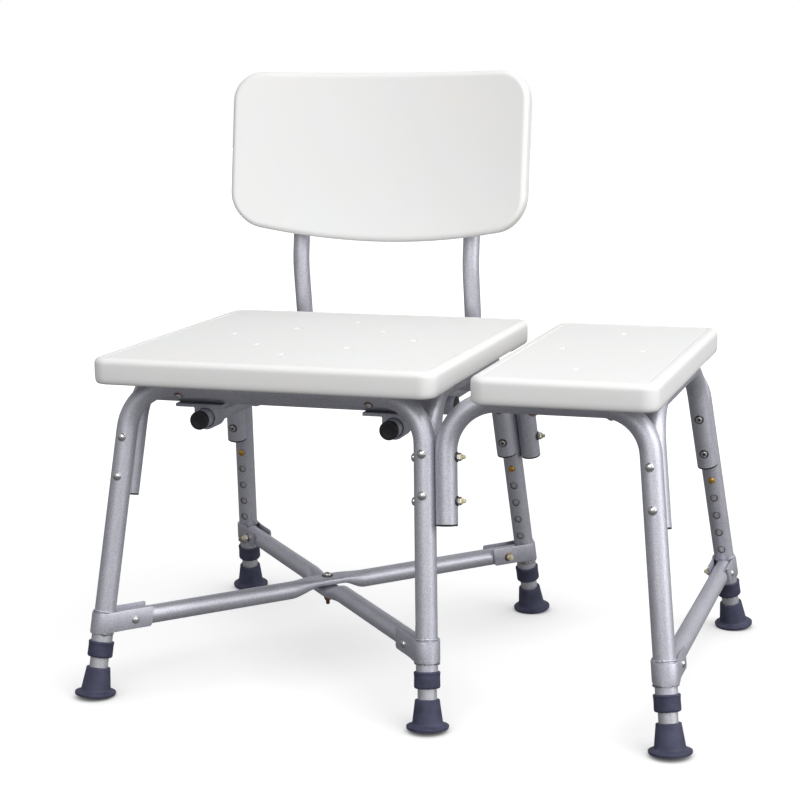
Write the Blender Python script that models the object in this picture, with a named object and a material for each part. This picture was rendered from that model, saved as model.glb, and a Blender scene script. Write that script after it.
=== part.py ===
"""Bath transfer bench: a main seat, an extension seat and a backrest on a frame of bent tubes.

All sizes are in metres, +Z is up and -Y is the side that a person sits down from.
The object is modelled about the centre of the main seat and then moved as a whole, so that
the origin lies on the floor under the centre of its bounding box.
"""

import math

import bmesh
import bpy
from mathutils import Matrix, Vector

# ---------------------------------------------------------------- driving dimensions
GAP = 0.0003

# Tubes: outer radius and wall
FRAME_TUBE = 0.0143
FRAME_WALL = 0.0014
LEG_TUBE = 0.0125
LEG_WALL = 0.0014
BRACE_TUBE = 0.0127
BACK_TUBE = 0.0127
CROSSBAR_TUBE = 0.0127
THIN_WALL = 0.0013
TUBE_SIDES = 12
BEND_STEPS = 4

# Where the leg axes meet the floor, and how far they lean inwards per metre of height
MAIN_SPREAD = 0.471
DEPTH_SPREAD = 0.555
EXTENSION_REACH = 0.3123
MAIN_LEAN = 0.070
EXTENSION_LEAN = 0.121
DEPTH_LEAN = 0.214

# Heights of the frame
RAIL_Z = 0.4106
BEND_RADIUS = 0.064
SIDE_END_Z = 0.260
JOINED_END_Z = 0.2535
OUTER_TUBE_END_Z = 0.0580

# Telescopic legs
LEG_TOP_Z = 0.2620
LEG_BOTTOM_Z = 0.0130
BUTTON_Z = 0.2345
BUTTON_RADIUS = 0.0047
BUTTON_HOLE_RADIUS = 0.0054
BUTTON_PROUD = 0.0030
HOLE_PITCH = 0.0280
HOLE_COUNT = 5

# Collars and feet
COLLAR_RADIUS = 0.0174
COLLAR_HALF_HEIGHT = 0.0112
FOOT_RADIUS = 0.0277
FOOT_HEIGHT = 0.0360
SOLE_TILT = 0.5
SOLE_DROP = 0.0050
ROUND_SIDES = 14

# Brackets and braces
BRACE_Z = 0.0937
BRACKET_HEIGHT = 0.0267
BRACKET_LIFT = 0.0016
BRACKET_THICKNESS = 0.0022
BRACKET_REACH = 0.0650
BRACE_SETBACK = 0.0180
FLAT_THICKNESS = 0.0118
FLAT_WIDTH = 0.0340

# Seats and back panel
MAIN_SEAT = (0.477, 0.508)
EXTENSION_SEAT = (0.2395, 0.508)
EXTENSION_SEAT_X = 0.4015
MAIN_SEAT_TOP = 0.4550
EXTENSION_SEAT_TOP = 0.4520
SEAT_HEIGHT = 0.0355
SEAT_LIP = 0.0080
SEAT_CORNER = 0.022
BACK_PANEL = (0.469, 0.230)
BACK_PANEL_THICKNESS = 0.0330
BACK_PANEL_BOW = 0.0260
BACK_PANEL_WRAP = 0.0290
BACK_PANEL_CORNER = 0.045
BACK_PANEL_Z = 0.7015

# Backrest tubes: their line seen from the side, as (y, z)
BACK_TUBE_X = 0.1378
BACK_TUBE_FRONT_Y = -0.1220
BACK_TUBE_HEEL_Y = 0.3060
BACK_TUBE_KINK = (0.2790, 0.5300)
BACK_LEAN = 0.140
BACK_TUBE_TOP_Z = 0.7800
BACK_HEEL_RADIUS = 0.060
BACK_KINK_RADIUS = 0.120
CROSSBAR_Y = 0.090
CROSSBAR_HALF_LENGTH = 0.2205
SADDLE_LEFT = 0.045
SADDLE_RIGHT = 0.024
SADDLE_PLATE = 0.0045
SADDLE_LENGTH = 0.030
SADDLE_WALL = 0.0032
PLUG_RADIUS = 0.0131
PASSAGE_RADIUS = 0.0138

# Bolts
BOLT_RADIUS = 0.0030
BOLT_CLEARANCE = 0.0004
JOINING_BOLT_Z = (0.3360, 0.2810)

# Colours
SILVER = (0.47, 0.47, 0.51)
ZINC = (0.62, 0.61, 0.58)
BRASS = (0.62, 0.38, 0.07)
NAVY = (0.055, 0.055, 0.095)
BLACK = (0.02, 0.02, 0.022)
WHITE = (0.86, 0.86, 0.85)

COLUMNS = {
    "left": (-MAIN_SPREAD / 2, MAIN_LEAN),
    "right": (MAIN_SPREAD / 2, -MAIN_LEAN),
    "extension": (MAIN_SPREAD / 2 + EXTENSION_REACH, -EXTENSION_LEAN),
}
ROWS = {
    "front": (-DEPTH_SPREAD / 2, DEPTH_LEAN),
    "rear": (DEPTH_SPREAD / 2, -DEPTH_LEAN),
}


# ---------------------------------------------------------------- scene helpers
def clear_scene():
    for old in list(bpy.data.objects):
        bpy.data.objects.remove(old, do_unlink=True)


def material(name, colour, roughness, metallic):
    made = bpy.data.materials.new(name)
    made.use_nodes = True
    shader = made.node_tree.nodes["Principled BSDF"]
    shader.inputs["Base Color"].default_value = (*colour, 1.0)
    shader.inputs["Roughness"].default_value = roughness
    shader.inputs["Metallic"].default_value = metallic
    return made


FINISHES = {
    "anodised": (SILVER, 0.42, 0.85),
    "zinc": (ZINC, 0.28, 1.0),
    "brass": (BRASS, 0.35, 1.0),
    "rubber": (NAVY, 0.65, 0.0),
    "black": (BLACK, 0.55, 0.0),
    "plastic": (WHITE, 0.48, 0.0),
}


def add_object(name, mesh_data, finish, parent):
    """Turn a bmesh into a named, shaded object under its parent."""
    bmesh.ops.recalc_face_normals(mesh_data, faces=mesh_data.faces)
    mesh = bpy.data.meshes.new(name)
    mesh_data.to_mesh(mesh)
    mesh_data.free()
    mesh.shade_smooth()
    mesh.set_sharp_from_angle(angle=math.radians(35))
    made = bpy.data.objects.new(name, mesh)
    bpy.context.scene.collection.objects.link(made)
    made.data.materials.append(material(name, *FINISHES[finish]))
    made.parent = parent
    return made


def cut(target, cutter):
    """Remove the cutter's shape from the target."""
    cutter.hide_render = True
    cutter.display_type = "WIRE"
    boolean = target.modifiers.new("cut_" + cutter.name, "BOOLEAN")
    boolean.operation = "DIFFERENCE"
    boolean.solver = "EXACT"
    boolean.object = cutter


def drill(target, holes, parent):
    """Drill straight holes, each given as (start, end, radius), through a target."""
    drills = bmesh.new()
    for start, end, radius in holes:
        axis = end - start
        turn = axis.to_track_quat("Z", "Y").to_matrix().to_4x4()
        bmesh.ops.create_cone(
            drills,
            cap_ends=True,
            segments=8,
            radius1=radius,
            radius2=radius,
            depth=axis.length,
            matrix=Matrix.Translation((start + end) / 2) @ turn,
        )
    cut(target, add_object(target.name + "_drills", drills, "black", parent))


# ---------------------------------------------------------------- leg geometry
def foot_point(row, column):
    return Vector((COLUMNS[column][0], ROWS[row][0], 0.0))


def leg_direction(row, column):
    return Vector((COLUMNS[column][1], ROWS[row][1], 1.0)).normalized()


def point_at_height(start, direction, height):
    return start + direction * ((height - start.z) / direction.z)


def on_leg(row, column, height):
    return point_at_height(foot_point(row, column), leg_direction(row, column), height)


def square_to_leg(row, column, towards):
    """The part of a direction that is square to a leg."""
    axis = leg_direction(row, column)
    return (towards - axis * towards.dot(axis)).normalized()


def inward(row, column):
    """From a leg towards the middle of the bench, front to back."""
    return square_to_leg(row, column, Vector((0, 1 if row == "front" else -1, 0)))


def beside_leg(row, column, offset, height):
    """A point at a height on a line that runs beside a leg."""
    return point_at_height(foot_point(row, column) + offset, leg_direction(row, column), height)


# ---------------------------------------------------------------- mesh builders
def round_corners(corners, radii, steps):
    """Replace each inner corner of a polyline by an arc."""
    path = [corners[0]]
    for before, corner, after, radius in zip(corners, corners[1:], corners[2:], radii):
        arriving = (corner - before).normalized()
        leaving = (after - corner).normalized()
        turn = arriving.angle(leaving)
        setback = radius * math.tan(turn / 2)
        side = (leaving - arriving * leaving.dot(arriving)).normalized()
        start = corner - arriving * setback
        for step in range(steps + 1):
            angle = turn * step / steps
            path.append(start + arriving * radius * math.sin(angle) + side * radius * (1 - math.cos(angle)))
    path.append(corners[-1])
    return path


def tangents(path):
    """Direction of the path at each of its points."""
    steps = [(after - before).normalized() for before, after in zip(path, path[1:])]
    inner = [(first + second).normalized() for first, second in zip(steps, steps[1:])]
    return [steps[0], *inner, steps[-1]]


def ellipse_ring(mesh, centre, across, along, half_width, half_height, sides, first=0.5):
    """Points of an ellipse whose half sizes lie along two directions."""
    ring = []
    for index in range(sides):
        angle = 2 * math.pi * (index + first) / sides
        offset = across * half_width * math.cos(angle) + along * half_height * math.sin(angle)
        ring.append(mesh.verts.new(centre + offset))
    return ring


def skin(mesh, first, second):
    for index, vertex in enumerate(first):
        after = (index + 1) % len(first)
        mesh.faces.new((vertex, first[after], second[after], second[index]))


def loft(mesh, rings, closed):
    """Skin ring to ring, then either join the last ring to the first or cap both ends."""
    for first, second in zip(rings, rings[1:]):
        skin(mesh, first, second)
    if closed:
        skin(mesh, rings[-1], rings[0])
    else:
        mesh.faces.new(rings[0])
        mesh.faces.new(rings[-1])


def tube(name, path, normal, sizes, wall, finish, parent):
    """A hollow tube along a flat path. sizes are (half width along normal, half height) by point."""
    mesh = bmesh.new()
    outside = []
    inside = []
    for centre, direction, (half_width, half_height) in zip(path, tangents(path), sizes):
        along = direction.cross(normal).normalized()
        outside.append(ellipse_ring(mesh, centre, normal, along, half_width, half_height, TUBE_SIDES))
        inside.append(
            ellipse_ring(mesh, centre, normal, along, half_width - wall, half_height - wall, TUBE_SIDES)
        )
    loft(mesh, outside + inside[::-1], closed=True)
    return add_object(name, mesh, finish, parent)


def bent_tube(name, corners, radii, radius, wall, parent):
    path = round_corners(corners, radii, BEND_STEPS)
    normal = (corners[1] - corners[0]).cross(corners[2] - corners[1]).normalized()
    sizes = [(radius, radius)] * len(path)
    return tube(name, path, normal, sizes, wall, "anodised", parent)


def turned(name, origin, axis, profile, finish, parent, sides=ROUND_SIDES):
    """Turn a closed (radius, distance) profile about an axis. Radius 0 at both ends makes it solid."""
    mesh = bmesh.new()
    across = axis.orthogonal().normalized()
    along = axis.cross(across)
    solid = profile[0][0] == 0.0
    rings = [
        ellipse_ring(mesh, origin + axis * distance, across, along, radius, radius, sides)
        for radius, distance in profile
        if radius > 0.0
    ]
    loft(mesh, rings, closed=not solid)
    return add_object(name, mesh, finish, parent)


# ---------------------------------------------------------------- frame tubes
def frame_tubes(bench):
    """The seven bent tubes of the frame, by name."""
    spacing = 2 * FRAME_TUBE + GAP
    bends = (BEND_RADIUS, BEND_RADIUS)
    made = {}
    for row in ROWS:
        corners = [
            on_leg(row, "left", OUTER_TUBE_END_Z),
            on_leg(row, "left", RAIL_Z),
            on_leg(row, "right", RAIL_Z),
            on_leg(row, "right", OUTER_TUBE_END_Z),
        ]
        name = f"main_{row}_frame"
        made[name] = bent_tube(name, corners, bends, FRAME_TUBE, FRAME_WALL, bench)

        beside = square_to_leg(row, "right", Vector((1, 0, 0))) * spacing
        corners = [
            beside_leg(row, "right", beside, JOINED_END_Z),
            beside_leg(row, "right", beside, RAIL_Z),
            on_leg(row, "extension", RAIL_Z),
            on_leg(row, "extension", OUTER_TUBE_END_Z),
        ]
        name = f"extension_{row}_frame"
        made[name] = bent_tube(name, corners, bends, FRAME_TUBE, FRAME_WALL, bench)

    for column in COLUMNS:
        front = inward("front", column) * spacing
        rear = inward("rear", column) * spacing
        corners = [
            beside_leg("front", column, front, SIDE_END_Z),
            beside_leg("front", column, front, RAIL_Z),
            beside_leg("rear", column, rear, RAIL_Z),
            beside_leg("rear", column, rear, SIDE_END_Z),
        ]
        name = f"{column}_side_frame"
        made[name] = bent_tube(name, corners, bends, FRAME_TUBE, FRAME_WALL, bench)
    return made


def button_holes(row, column):
    """The row of holes in one outer leg, on the side that faces the middle of the bench."""
    out = inward(row, column)
    down = -leg_direction(row, column)
    first = on_leg(row, column, BUTTON_Z)
    holes = []
    for index in range(HOLE_COUNT):
        centre = first + down * HOLE_PITCH * index
        holes.append((centre + out * 0.006, centre + out * 0.020, BUTTON_HOLE_RADIUS))
    return holes


def joining_bolts(frames, bench):
    """Bolts that hold the extension's short tube ends to the main bench's right legs."""
    shank = 2 * (2 * FRAME_TUBE) + GAP
    hole = BOLT_RADIUS + BOLT_CLEARANCE
    for row in ROWS:
        across = square_to_leg(row, "right", Vector((1, 0, 0)))
        holes = []
        for place, height in zip(("upper", "lower"), JOINING_BOLT_Z):
            centre = on_leg(row, "right", height)
            head = centre - across * (FRAME_TUBE + GAP)
            holes.append((head - across * 0.004, head + across * (shank + 0.004), hole))
            profile = [
                (0.0, -0.0040),
                (0.0034, -0.0038),
                (0.0060, -0.0010),
                (0.0060, 0.0),
                (BOLT_RADIUS, 0.0),
                (BOLT_RADIUS, shank + 2 * GAP),
                (0.0068, shank + 2 * GAP),
                (0.0068, shank + 0.0018),
                (0.0053, shank + 0.0018),
                (0.0053, shank + 0.0080),
                (0.0026, shank + 0.0130),
                (0.0, shank + 0.0130),
            ]
            turned(f"{row}_joining_bolt_{place}", head, across, profile, "zinc", bench, sides=8)
        drill_main = holes + button_holes(row, "left") + button_holes(row, "right")
        drill(frames[f"main_{row}_frame"], drill_main, bench)
        drill_extension = holes + button_holes(row, "extension")
        drill(frames[f"extension_{row}_frame"], drill_extension, bench)


# ---------------------------------------------------------------- telescopic legs
def inner_leg(row, column, bench):
    """A leg tube that slides in the outer leg, with the hole that its snap button stands in."""
    bottom = on_leg(row, column, LEG_BOTTOM_Z)
    top = on_leg(row, column, LEG_TOP_Z)
    rail = Vector((1, 0, 0))
    normal = rail.cross(leg_direction(row, column)).normalized()
    sizes = [(LEG_TUBE, LEG_TUBE)] * 2
    leg = tube(f"{row}_{column}_leg_tube", [bottom, top], normal, sizes, LEG_WALL, "anodised", bench)
    centre = on_leg(row, column, BUTTON_Z)
    out = inward(row, column)
    drill(leg, [(centre + out * 0.006, centre + out * 0.018, BUTTON_HOLE_RADIUS)], bench)
    return leg


def snap_button(row, column, bench):
    """The button of the spring clip, which stands out through both tubes."""
    tip = FRAME_TUBE + BUTTON_PROUD
    profile = [
        (0.0, 0.0060),
        (BUTTON_RADIUS, 0.0060),
        (BUTTON_RADIUS, tip - 0.0020),
        (BUTTON_RADIUS * 0.6, tip),
        (0.0, tip),
    ]
    centre = on_leg(row, column, BUTTON_Z)
    name = f"{row}_{column}_snap_button"
    return turned(name, centre, inward(row, column), profile, "brass", bench, sides=10)


def collar(row, column, bench):
    """A rubber ring over the outer leg's lower end, which guides the leg tube."""
    half = COLLAR_HALF_HEIGHT
    inner = LEG_TUBE + 0.0006
    outer = FRAME_TUBE + 0.0006
    profile = [
        (inner, -half),
        (COLLAR_RADIUS - 0.0022, -half),
        (COLLAR_RADIUS, -half + 0.0035),
        (COLLAR_RADIUS, half),
        (outer, half),
        (outer, -GAP),
        (inner, -GAP),
    ]
    end = on_leg(row, column, OUTER_TUBE_END_Z)
    name = f"{row}_{column}_collar"
    return turned(name, end, leg_direction(row, column), profile, "rubber", bench)


def sole(row, column):
    """Centre and upward normal of a foot's sole, which tilts half way to the lean of its leg."""
    normal = Vector((0, 0, 1)).lerp(leg_direction(row, column), SOLE_TILT).normalized()
    rise = FOOT_RADIUS * math.sqrt(1 - normal.z**2)
    return on_leg(row, column, rise - SOLE_DROP), normal


def foot(row, column, bench):
    """A rubber foot: a flat saucer at its sole, and square to the leaning leg at its mouth."""
    bore = LEG_TUBE + 0.0005
    base, tilted = sole(row, column)
    outline = [
        (FOOT_RADIUS - 0.0006, 0.0),
        (FOOT_RADIUS, 0.0008),
        (FOOT_RADIUS, 0.0040),
        (0.0208, 0.0062),
        (0.0196, 0.0080),
        (0.0160, FOOT_HEIGHT),
        (bore, FOOT_HEIGHT),
        (bore, LEG_BOTTOM_Z - 0.0010 - base.z),
    ]
    mesh = bmesh.new()
    axis = leg_direction(row, column)
    rings = []
    for radius, height in outline:
        share = 1.0 if radius == bore else min(1.0, max(0.0, height - 0.0062) / FOOT_HEIGHT * 1.3)
        normal = tilted.lerp(axis, share).normalized()
        across = normal.cross(Vector((0, 1, 0))).normalized()
        along = normal.cross(across)
        centre = on_leg(row, column, base.z + height)
        rings.append(ellipse_ring(mesh, centre, across, along, radius, radius, 16, first=0.0))
    loft(mesh, rings, closed=False)
    return add_object(f"{row}_{column}_foot", mesh, "rubber", bench)


# ---------------------------------------------------------------- brackets and braces
def clevis_bracket(row, column, towards, bench):
    """A strap round the leg with two ears that hold a brace between them."""
    inner_round = FRAME_TUBE + 0.0008
    outer_round = inner_round + BRACKET_THICKNESS
    inner_ear = BRACE_TUBE + 0.0004
    outer_ear = inner_ear + BRACKET_THICKNESS
    pinch = 0.026
    arc = [math.pi / 2 + math.pi * step / 8 for step in range(9)]
    outside = [(BRACKET_REACH, outer_ear), (pinch, outer_ear)]
    outside += [(outer_round * math.cos(angle), outer_round * math.sin(angle)) for angle in arc]
    outside += [(pinch, -outer_ear), (BRACKET_REACH, -outer_ear)]
    inside = [(BRACKET_REACH, inner_ear), (pinch, inner_ear)]
    inside += [(inner_round * math.cos(angle), inner_round * math.sin(angle)) for angle in arc]
    inside += [(pinch, -inner_ear), (BRACKET_REACH, -inner_ear)]

    side = Vector((towards.y, -towards.x, 0))
    mesh = bmesh.new()
    levels = []
    for side_of_middle in (-0.5, 0.5):
        height = BRACE_Z + BRACKET_LIFT + BRACKET_HEIGHT * side_of_middle
        centre = on_leg(row, column, height)
        levels.append(
            [[mesh.verts.new(centre + towards * s + side * o) for s, o in line] for line in (outside, inside)]
        )
    (low_out, low_in), (high_out, high_in) = levels
    for index in range(len(outside) - 1):
        after = index + 1
        mesh.faces.new((low_out[index], low_out[after], high_out[after], high_out[index]))
        mesh.faces.new((low_in[after], low_in[index], high_in[index], high_in[after]))
        mesh.faces.new((low_out[after], low_out[index], low_in[index], low_in[after]))
        mesh.faces.new((high_out[index], high_out[after], high_in[after], high_in[index]))
    for end in (0, -1):
        mesh.faces.new((low_out[end], high_out[end], high_in[end], low_in[end]))
    return add_object(f"{row}_{column}_bracket", mesh, "anodised", bench)


def crossed_brace(name, first, second, side, bench):
    """A brace between two legs, pressed flat to its upper (1) or lower (-1) half at mid span."""
    start = on_leg(*first, BRACE_Z)
    end = on_leg(*second, BRACE_Z)
    along = (end - start).normalized()
    half = (end - start).length / 2 - BRACE_SETBACK
    middle = (start + end) / 2
    shift = Vector((0, 0, side * (BRACE_TUBE - FLAT_THICKNESS / 2)))
    # distance from mid span, and how far the tube is flattened there
    stations = [(-half, 0.0), (-0.058, 0.0), (-0.036, 0.60), (-0.018, 1.0)]
    stations += [(-distance, flat) for distance, flat in reversed(stations)]
    path = [middle + along * distance + shift * flat for distance, flat in stations]
    sizes = []
    for _, flat in stations:
        half_width = BRACE_TUBE + (FLAT_WIDTH / 2 - BRACE_TUBE) * flat
        half_height = BRACE_TUBE + (FLAT_THICKNESS / 2 - BRACE_TUBE) * flat
        sizes.append((half_width, half_height))
    across = along.cross(Vector((0, 0, 1))).normalized()
    brace = tube(name, path, across, sizes, THIN_WALL, "anodised", bench)
    hole = BOLT_RADIUS + BOLT_CLEARANCE
    up = Vector((0, 0, 0.020))
    drill(brace, [(middle - up, middle + up, hole)], bench)
    return brace


def braces(bench):
    front_left = on_leg("front", "left", BRACE_Z)
    rear_right = on_leg("rear", "right", BRACE_Z)
    diagonal = (rear_right - front_left).normalized()
    mirrored = Vector((-diagonal.x, diagonal.y, 0))
    directions = {
        ("front", "left"): diagonal,
        ("rear", "right"): -diagonal,
        ("front", "right"): mirrored,
        ("rear", "left"): -mirrored,
        ("front", "extension"): Vector((0, 1, 0)),
        ("rear", "extension"): Vector((0, -1, 0)),
    }
    for (row, column), towards in directions.items():
        clevis_bracket(row, column, towards, bench)
    crossed_brace("upper_cross_brace", ("front", "left"), ("rear", "right"), 1, bench)
    crossed_brace("lower_cross_brace", ("front", "right"), ("rear", "left"), -1, bench)

    setback = Vector((0, BRACE_SETBACK, 0))
    path = [
        on_leg("front", "extension", BRACE_Z) + setback,
        on_leg("rear", "extension", BRACE_Z) - setback,
    ]
    sizes = [(BRACE_TUBE, BRACE_TUBE)] * 2
    tube("extension_brace", path, Vector((1, 0, 0)), sizes, THIN_WALL, "anodised", bench)

    reach = BRACE_TUBE + GAP
    profile = [
        (0.0, reach + 0.0050),
        (0.0036, reach + 0.0050),
        (0.0058, reach + 0.0026),
        (0.0060, reach + 0.0012),
        (0.0085, reach + 0.0012),
        (0.0085, reach),
        (BOLT_RADIUS, reach),
        (BOLT_RADIUS, -reach),
        (0.0055, -reach),
        (0.0055, -reach - 0.0100),
        (0.0034, -reach - 0.0160),
        (0.0, -reach - 0.0160),
    ]
    centre = (front_left + rear_right) / 2
    turned("crossing_bolt", centre, Vector((0, 0, 1)), profile, "zinc", bench, sides=8)


# ---------------------------------------------------------------- seats
def rounded_rectangle(width, depth, corner, inset):
    """Outline points, anticlockwise, with the same count for every inset."""
    radius = max(corner - inset, 0.002)
    points = []
    for sign_x, sign_y, start in ((1, 1, 0), (-1, 1, 90), (-1, -1, 180), (1, -1, 270)):
        centre_x = sign_x * (width / 2 - inset - radius)
        centre_y = sign_y * (depth / 2 - inset - radius)
        for step in range(5):
            angle = math.radians(start + 90 * step / 4)
            points.append((centre_x + radius * math.cos(angle), centre_y + radius * math.sin(angle)))
    return points


def seat(name, centre_x, size, top, bench):
    """A moulded seat panel with rounded edges and a lip that hangs round the frame below it."""
    bottom = top - SEAT_HEIGHT
    underside = RAIL_Z + FRAME_TUBE + GAP
    # inset from the outline, and height, from the underside round the edge to the top
    section = [
        (SEAT_LIP, underside),
        (SEAT_LIP, bottom),
        (0.0040, bottom),
        (0.0008, bottom + 0.0035),
        (0.0, bottom + 0.0090),
        (0.0, top - 0.0090),
        (0.0022, top - 0.0030),
        (0.0080, top),
    ]
    mesh = bmesh.new()
    rings = []
    for inset, height in section:
        outline = rounded_rectangle(*size, SEAT_CORNER, inset)
        rings.append([mesh.verts.new((centre_x + x, y, height)) for x, y in outline])
    loft(mesh, rings, closed=False)
    return add_object(name, mesh, "plastic", bench)


def rail_notches(panel, bench):
    """Notches in the extension seat's left lip, where the two rails come in from the main bench."""
    left = EXTENSION_SEAT_X - EXTENSION_SEAT[0] / 2
    size = Vector((4 * SEAT_LIP, 2 * FRAME_TUBE + 0.008, 0.040))
    top = RAIL_Z + FRAME_TUBE + GAP
    notches = bmesh.new()
    for row in ROWS:
        centre = Vector((left, on_leg(row, "right", RAIL_Z).y, top - size.z / 2))
        place = Matrix.Translation(centre) @ Matrix.Diagonal((*size, 1))
        bmesh.ops.create_cube(notches, size=1.0, matrix=place)
    cut(panel, add_object("rail_notches", notches, "black", bench))


# ---------------------------------------------------------------- backrest
def back_tube_y(height):
    """Depth of the backrest tubes' upper run at a height."""
    return BACK_TUBE_KINK[0] + BACK_LEAN * (height - BACK_TUBE_KINK[1])


def crossbar_bottom():
    return RAIL_Z - FRAME_TUBE - GAP - 2 * CROSSBAR_TUBE


def back_tube_z():
    return crossbar_bottom() - GAP - SADDLE_PLATE - PASSAGE_RADIUS


def backrest(bench):
    for side, name in ((-1, "left"), (1, "right")):
        x = side * BACK_TUBE_X
        corners = [
            Vector((x, BACK_TUBE_FRONT_Y, back_tube_z())),
            Vector((x, BACK_TUBE_HEEL_Y, back_tube_z())),
            Vector((x, *BACK_TUBE_KINK)),
            Vector((x, back_tube_y(BACK_TUBE_TOP_Z), BACK_TUBE_TOP_Z)),
        ]
        radii = (BACK_HEEL_RADIUS, BACK_KINK_RADIUS)
        bent_tube(f"{name}_back_tube", corners, radii, BACK_TUBE, THIN_WALL, bench)
        profile = [
            (0.0, -0.0080),
            (PLUG_RADIUS - 0.0012, -0.0080),
            (PLUG_RADIUS, -0.0066),
            (PLUG_RADIUS, -GAP),
            (BACK_TUBE - THIN_WALL - 0.0007, -GAP),
            (BACK_TUBE - THIN_WALL - 0.0007, 0.0120),
            (0.0, 0.0120),
        ]
        mouth = Vector((x, BACK_TUBE_FRONT_Y, back_tube_z()))
        turned(f"{name}_back_tube_plug", mouth, Vector((0, 1, 0)), profile, "black", bench, sides=12)
    back_panel(bench)


def back_panel(bench):
    """The curved back panel: it leans back with its tubes, and its sides wrap forwards."""
    width, height = BACK_PANEL
    lean = Vector((0, BACK_LEAN, 1)).normalized()
    forward = Vector((0, -1, BACK_LEAN)).normalized()
    clear = BACK_TUBE + GAP
    tube_offset = (2 * BACK_TUBE_X / width) ** 2 * BACK_PANEL_WRAP
    centre = Vector((0, back_tube_y(BACK_PANEL_Z), BACK_PANEL_Z)) + forward * (clear - tube_offset)
    edge = 0.0090
    thick = BACK_PANEL_THICKNESS
    # inset from the outline, and distance forwards of the rear face
    section = [
        (edge, 0.0),
        (0.0025, 0.0030),
        (0.0, edge),
        (0.0, thick - edge),
        (0.0025, thick - 0.0030),
        (edge, thick),
    ]
    mesh = bmesh.new()
    rings = []
    for inset, depth in section:
        ring = []
        for u, v in rounded_rectangle(width, height, BACK_PANEL_CORNER, inset):
            share = min(1.0, (2 * u / width) ** 2)
            bow = BACK_PANEL_BOW * (1 - share) if v < 0 else 0.0
            wrap = BACK_PANEL_WRAP * share
            point = centre + Vector((u, 0, 0)) + lean * (v - bow) + forward * (depth + wrap)
            ring.append(mesh.verts.new(point))
        rings.append(ring)
    loft(mesh, rings, closed=False)
    return add_object("back_panel", mesh, "plastic", bench)


def crossbar(name, y, bench):
    z = crossbar_bottom() + CROSSBAR_TUBE
    path = [Vector((-CROSSBAR_HALF_LENGTH, y, z)), Vector((CROSSBAR_HALF_LENGTH, y, z))]
    sizes = [(CROSSBAR_TUBE, CROSSBAR_TUBE)] * 2
    return tube(name, path, Vector((0, 1, 0)), sizes, THIN_WALL, "anodised", bench)


def saddle(name, x, y, bench):
    """A bracket under a crossbar: a plate with a loop below it that a backrest tube slides in."""
    top = crossbar_bottom() - GAP
    outer = PASSAGE_RADIUS + SADDLE_WALL
    z = back_tube_z()
    outline = [
        (-SADDLE_LEFT, top),
        (-SADDLE_LEFT, top - SADDLE_PLATE),
        (-outer, top - SADDLE_PLATE),
    ]
    arc = [math.pi * (1 + step / 6) for step in range(7)]
    outline += [(outer * math.cos(angle), z + outer * math.sin(angle)) for angle in arc]
    outline += [(outer, top - SADDLE_PLATE), (SADDLE_RIGHT, top - SADDLE_PLATE), (SADDLE_RIGHT, top)]
    mesh = bmesh.new()
    rings = []
    for end in (-SADDLE_LENGTH / 2, SADDLE_LENGTH / 2):
        rings.append([mesh.verts.new((x + across, y + end, height)) for across, height in outline])
    loft(mesh, rings, closed=False)
    made = add_object(name, mesh, "anodised", bench)

    passage = bmesh.new()
    turn = Matrix.Rotation(math.pi / 2, 4, "X")
    bmesh.ops.create_cone(
        passage,
        cap_ends=True,
        segments=12,
        radius1=PASSAGE_RADIUS,
        radius2=PASSAGE_RADIUS,
        depth=2 * SADDLE_LENGTH,
        matrix=Matrix.Translation((x, y, z)) @ turn,
    )
    cut(made, add_object(name + "_passage", passage, "black", bench))
    return made


# ---------------------------------------------------------------- whole object
def centre_on_floor(bench):
    """Move the bench so that the origin is on the floor under the centre of its bounding box."""
    bpy.context.view_layer.update()
    solids = [piece for piece in bench.children if not piece.hide_render]
    points = [vertex.co for piece in solids for vertex in piece.data.vertices]
    for axis in (0, 1):
        values = [point[axis] for point in points]
        bench.location[axis] = -(min(values) + max(values)) / 2
    bench.location.z = -min(point.z for point in points)


def main():
    clear_scene()
    bench = bpy.data.objects.new("bench", None)
    bpy.context.scene.collection.objects.link(bench)

    frames = frame_tubes(bench)
    joining_bolts(frames, bench)
    for row in ROWS:
        for column in COLUMNS:
            inner_leg(row, column, bench)
            snap_button(row, column, bench)
            collar(row, column, bench)
            foot(row, column, bench)
    braces(bench)

    seat("main_seat", 0.0, MAIN_SEAT, MAIN_SEAT_TOP, bench)
    extension = seat("extension_seat", EXTENSION_SEAT_X, EXTENSION_SEAT, EXTENSION_SEAT_TOP, bench)
    rail_notches(extension, bench)
    for row, y in (("front", -CROSSBAR_Y), ("rear", CROSSBAR_Y)):
        crossbar(f"{row}_crossbar", y, bench)
        for side, name in ((-1, "left"), (1, "right")):
            saddle(f"{row}_{name}_saddle", side * BACK_TUBE_X, y, bench)
    backrest(bench)
    centre_on_floor(bench)


main()
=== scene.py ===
"""Bath transfer bench: the finished pieces, their materials, the floor, the lights and the camera.

Every piece is built about a point on the floor under the middle of the main seat, and is then moved
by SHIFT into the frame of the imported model. All sizes are in metres.
"""

import math

import bmesh
import bpy
from mathutils import Matrix, Vector, noise

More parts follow.
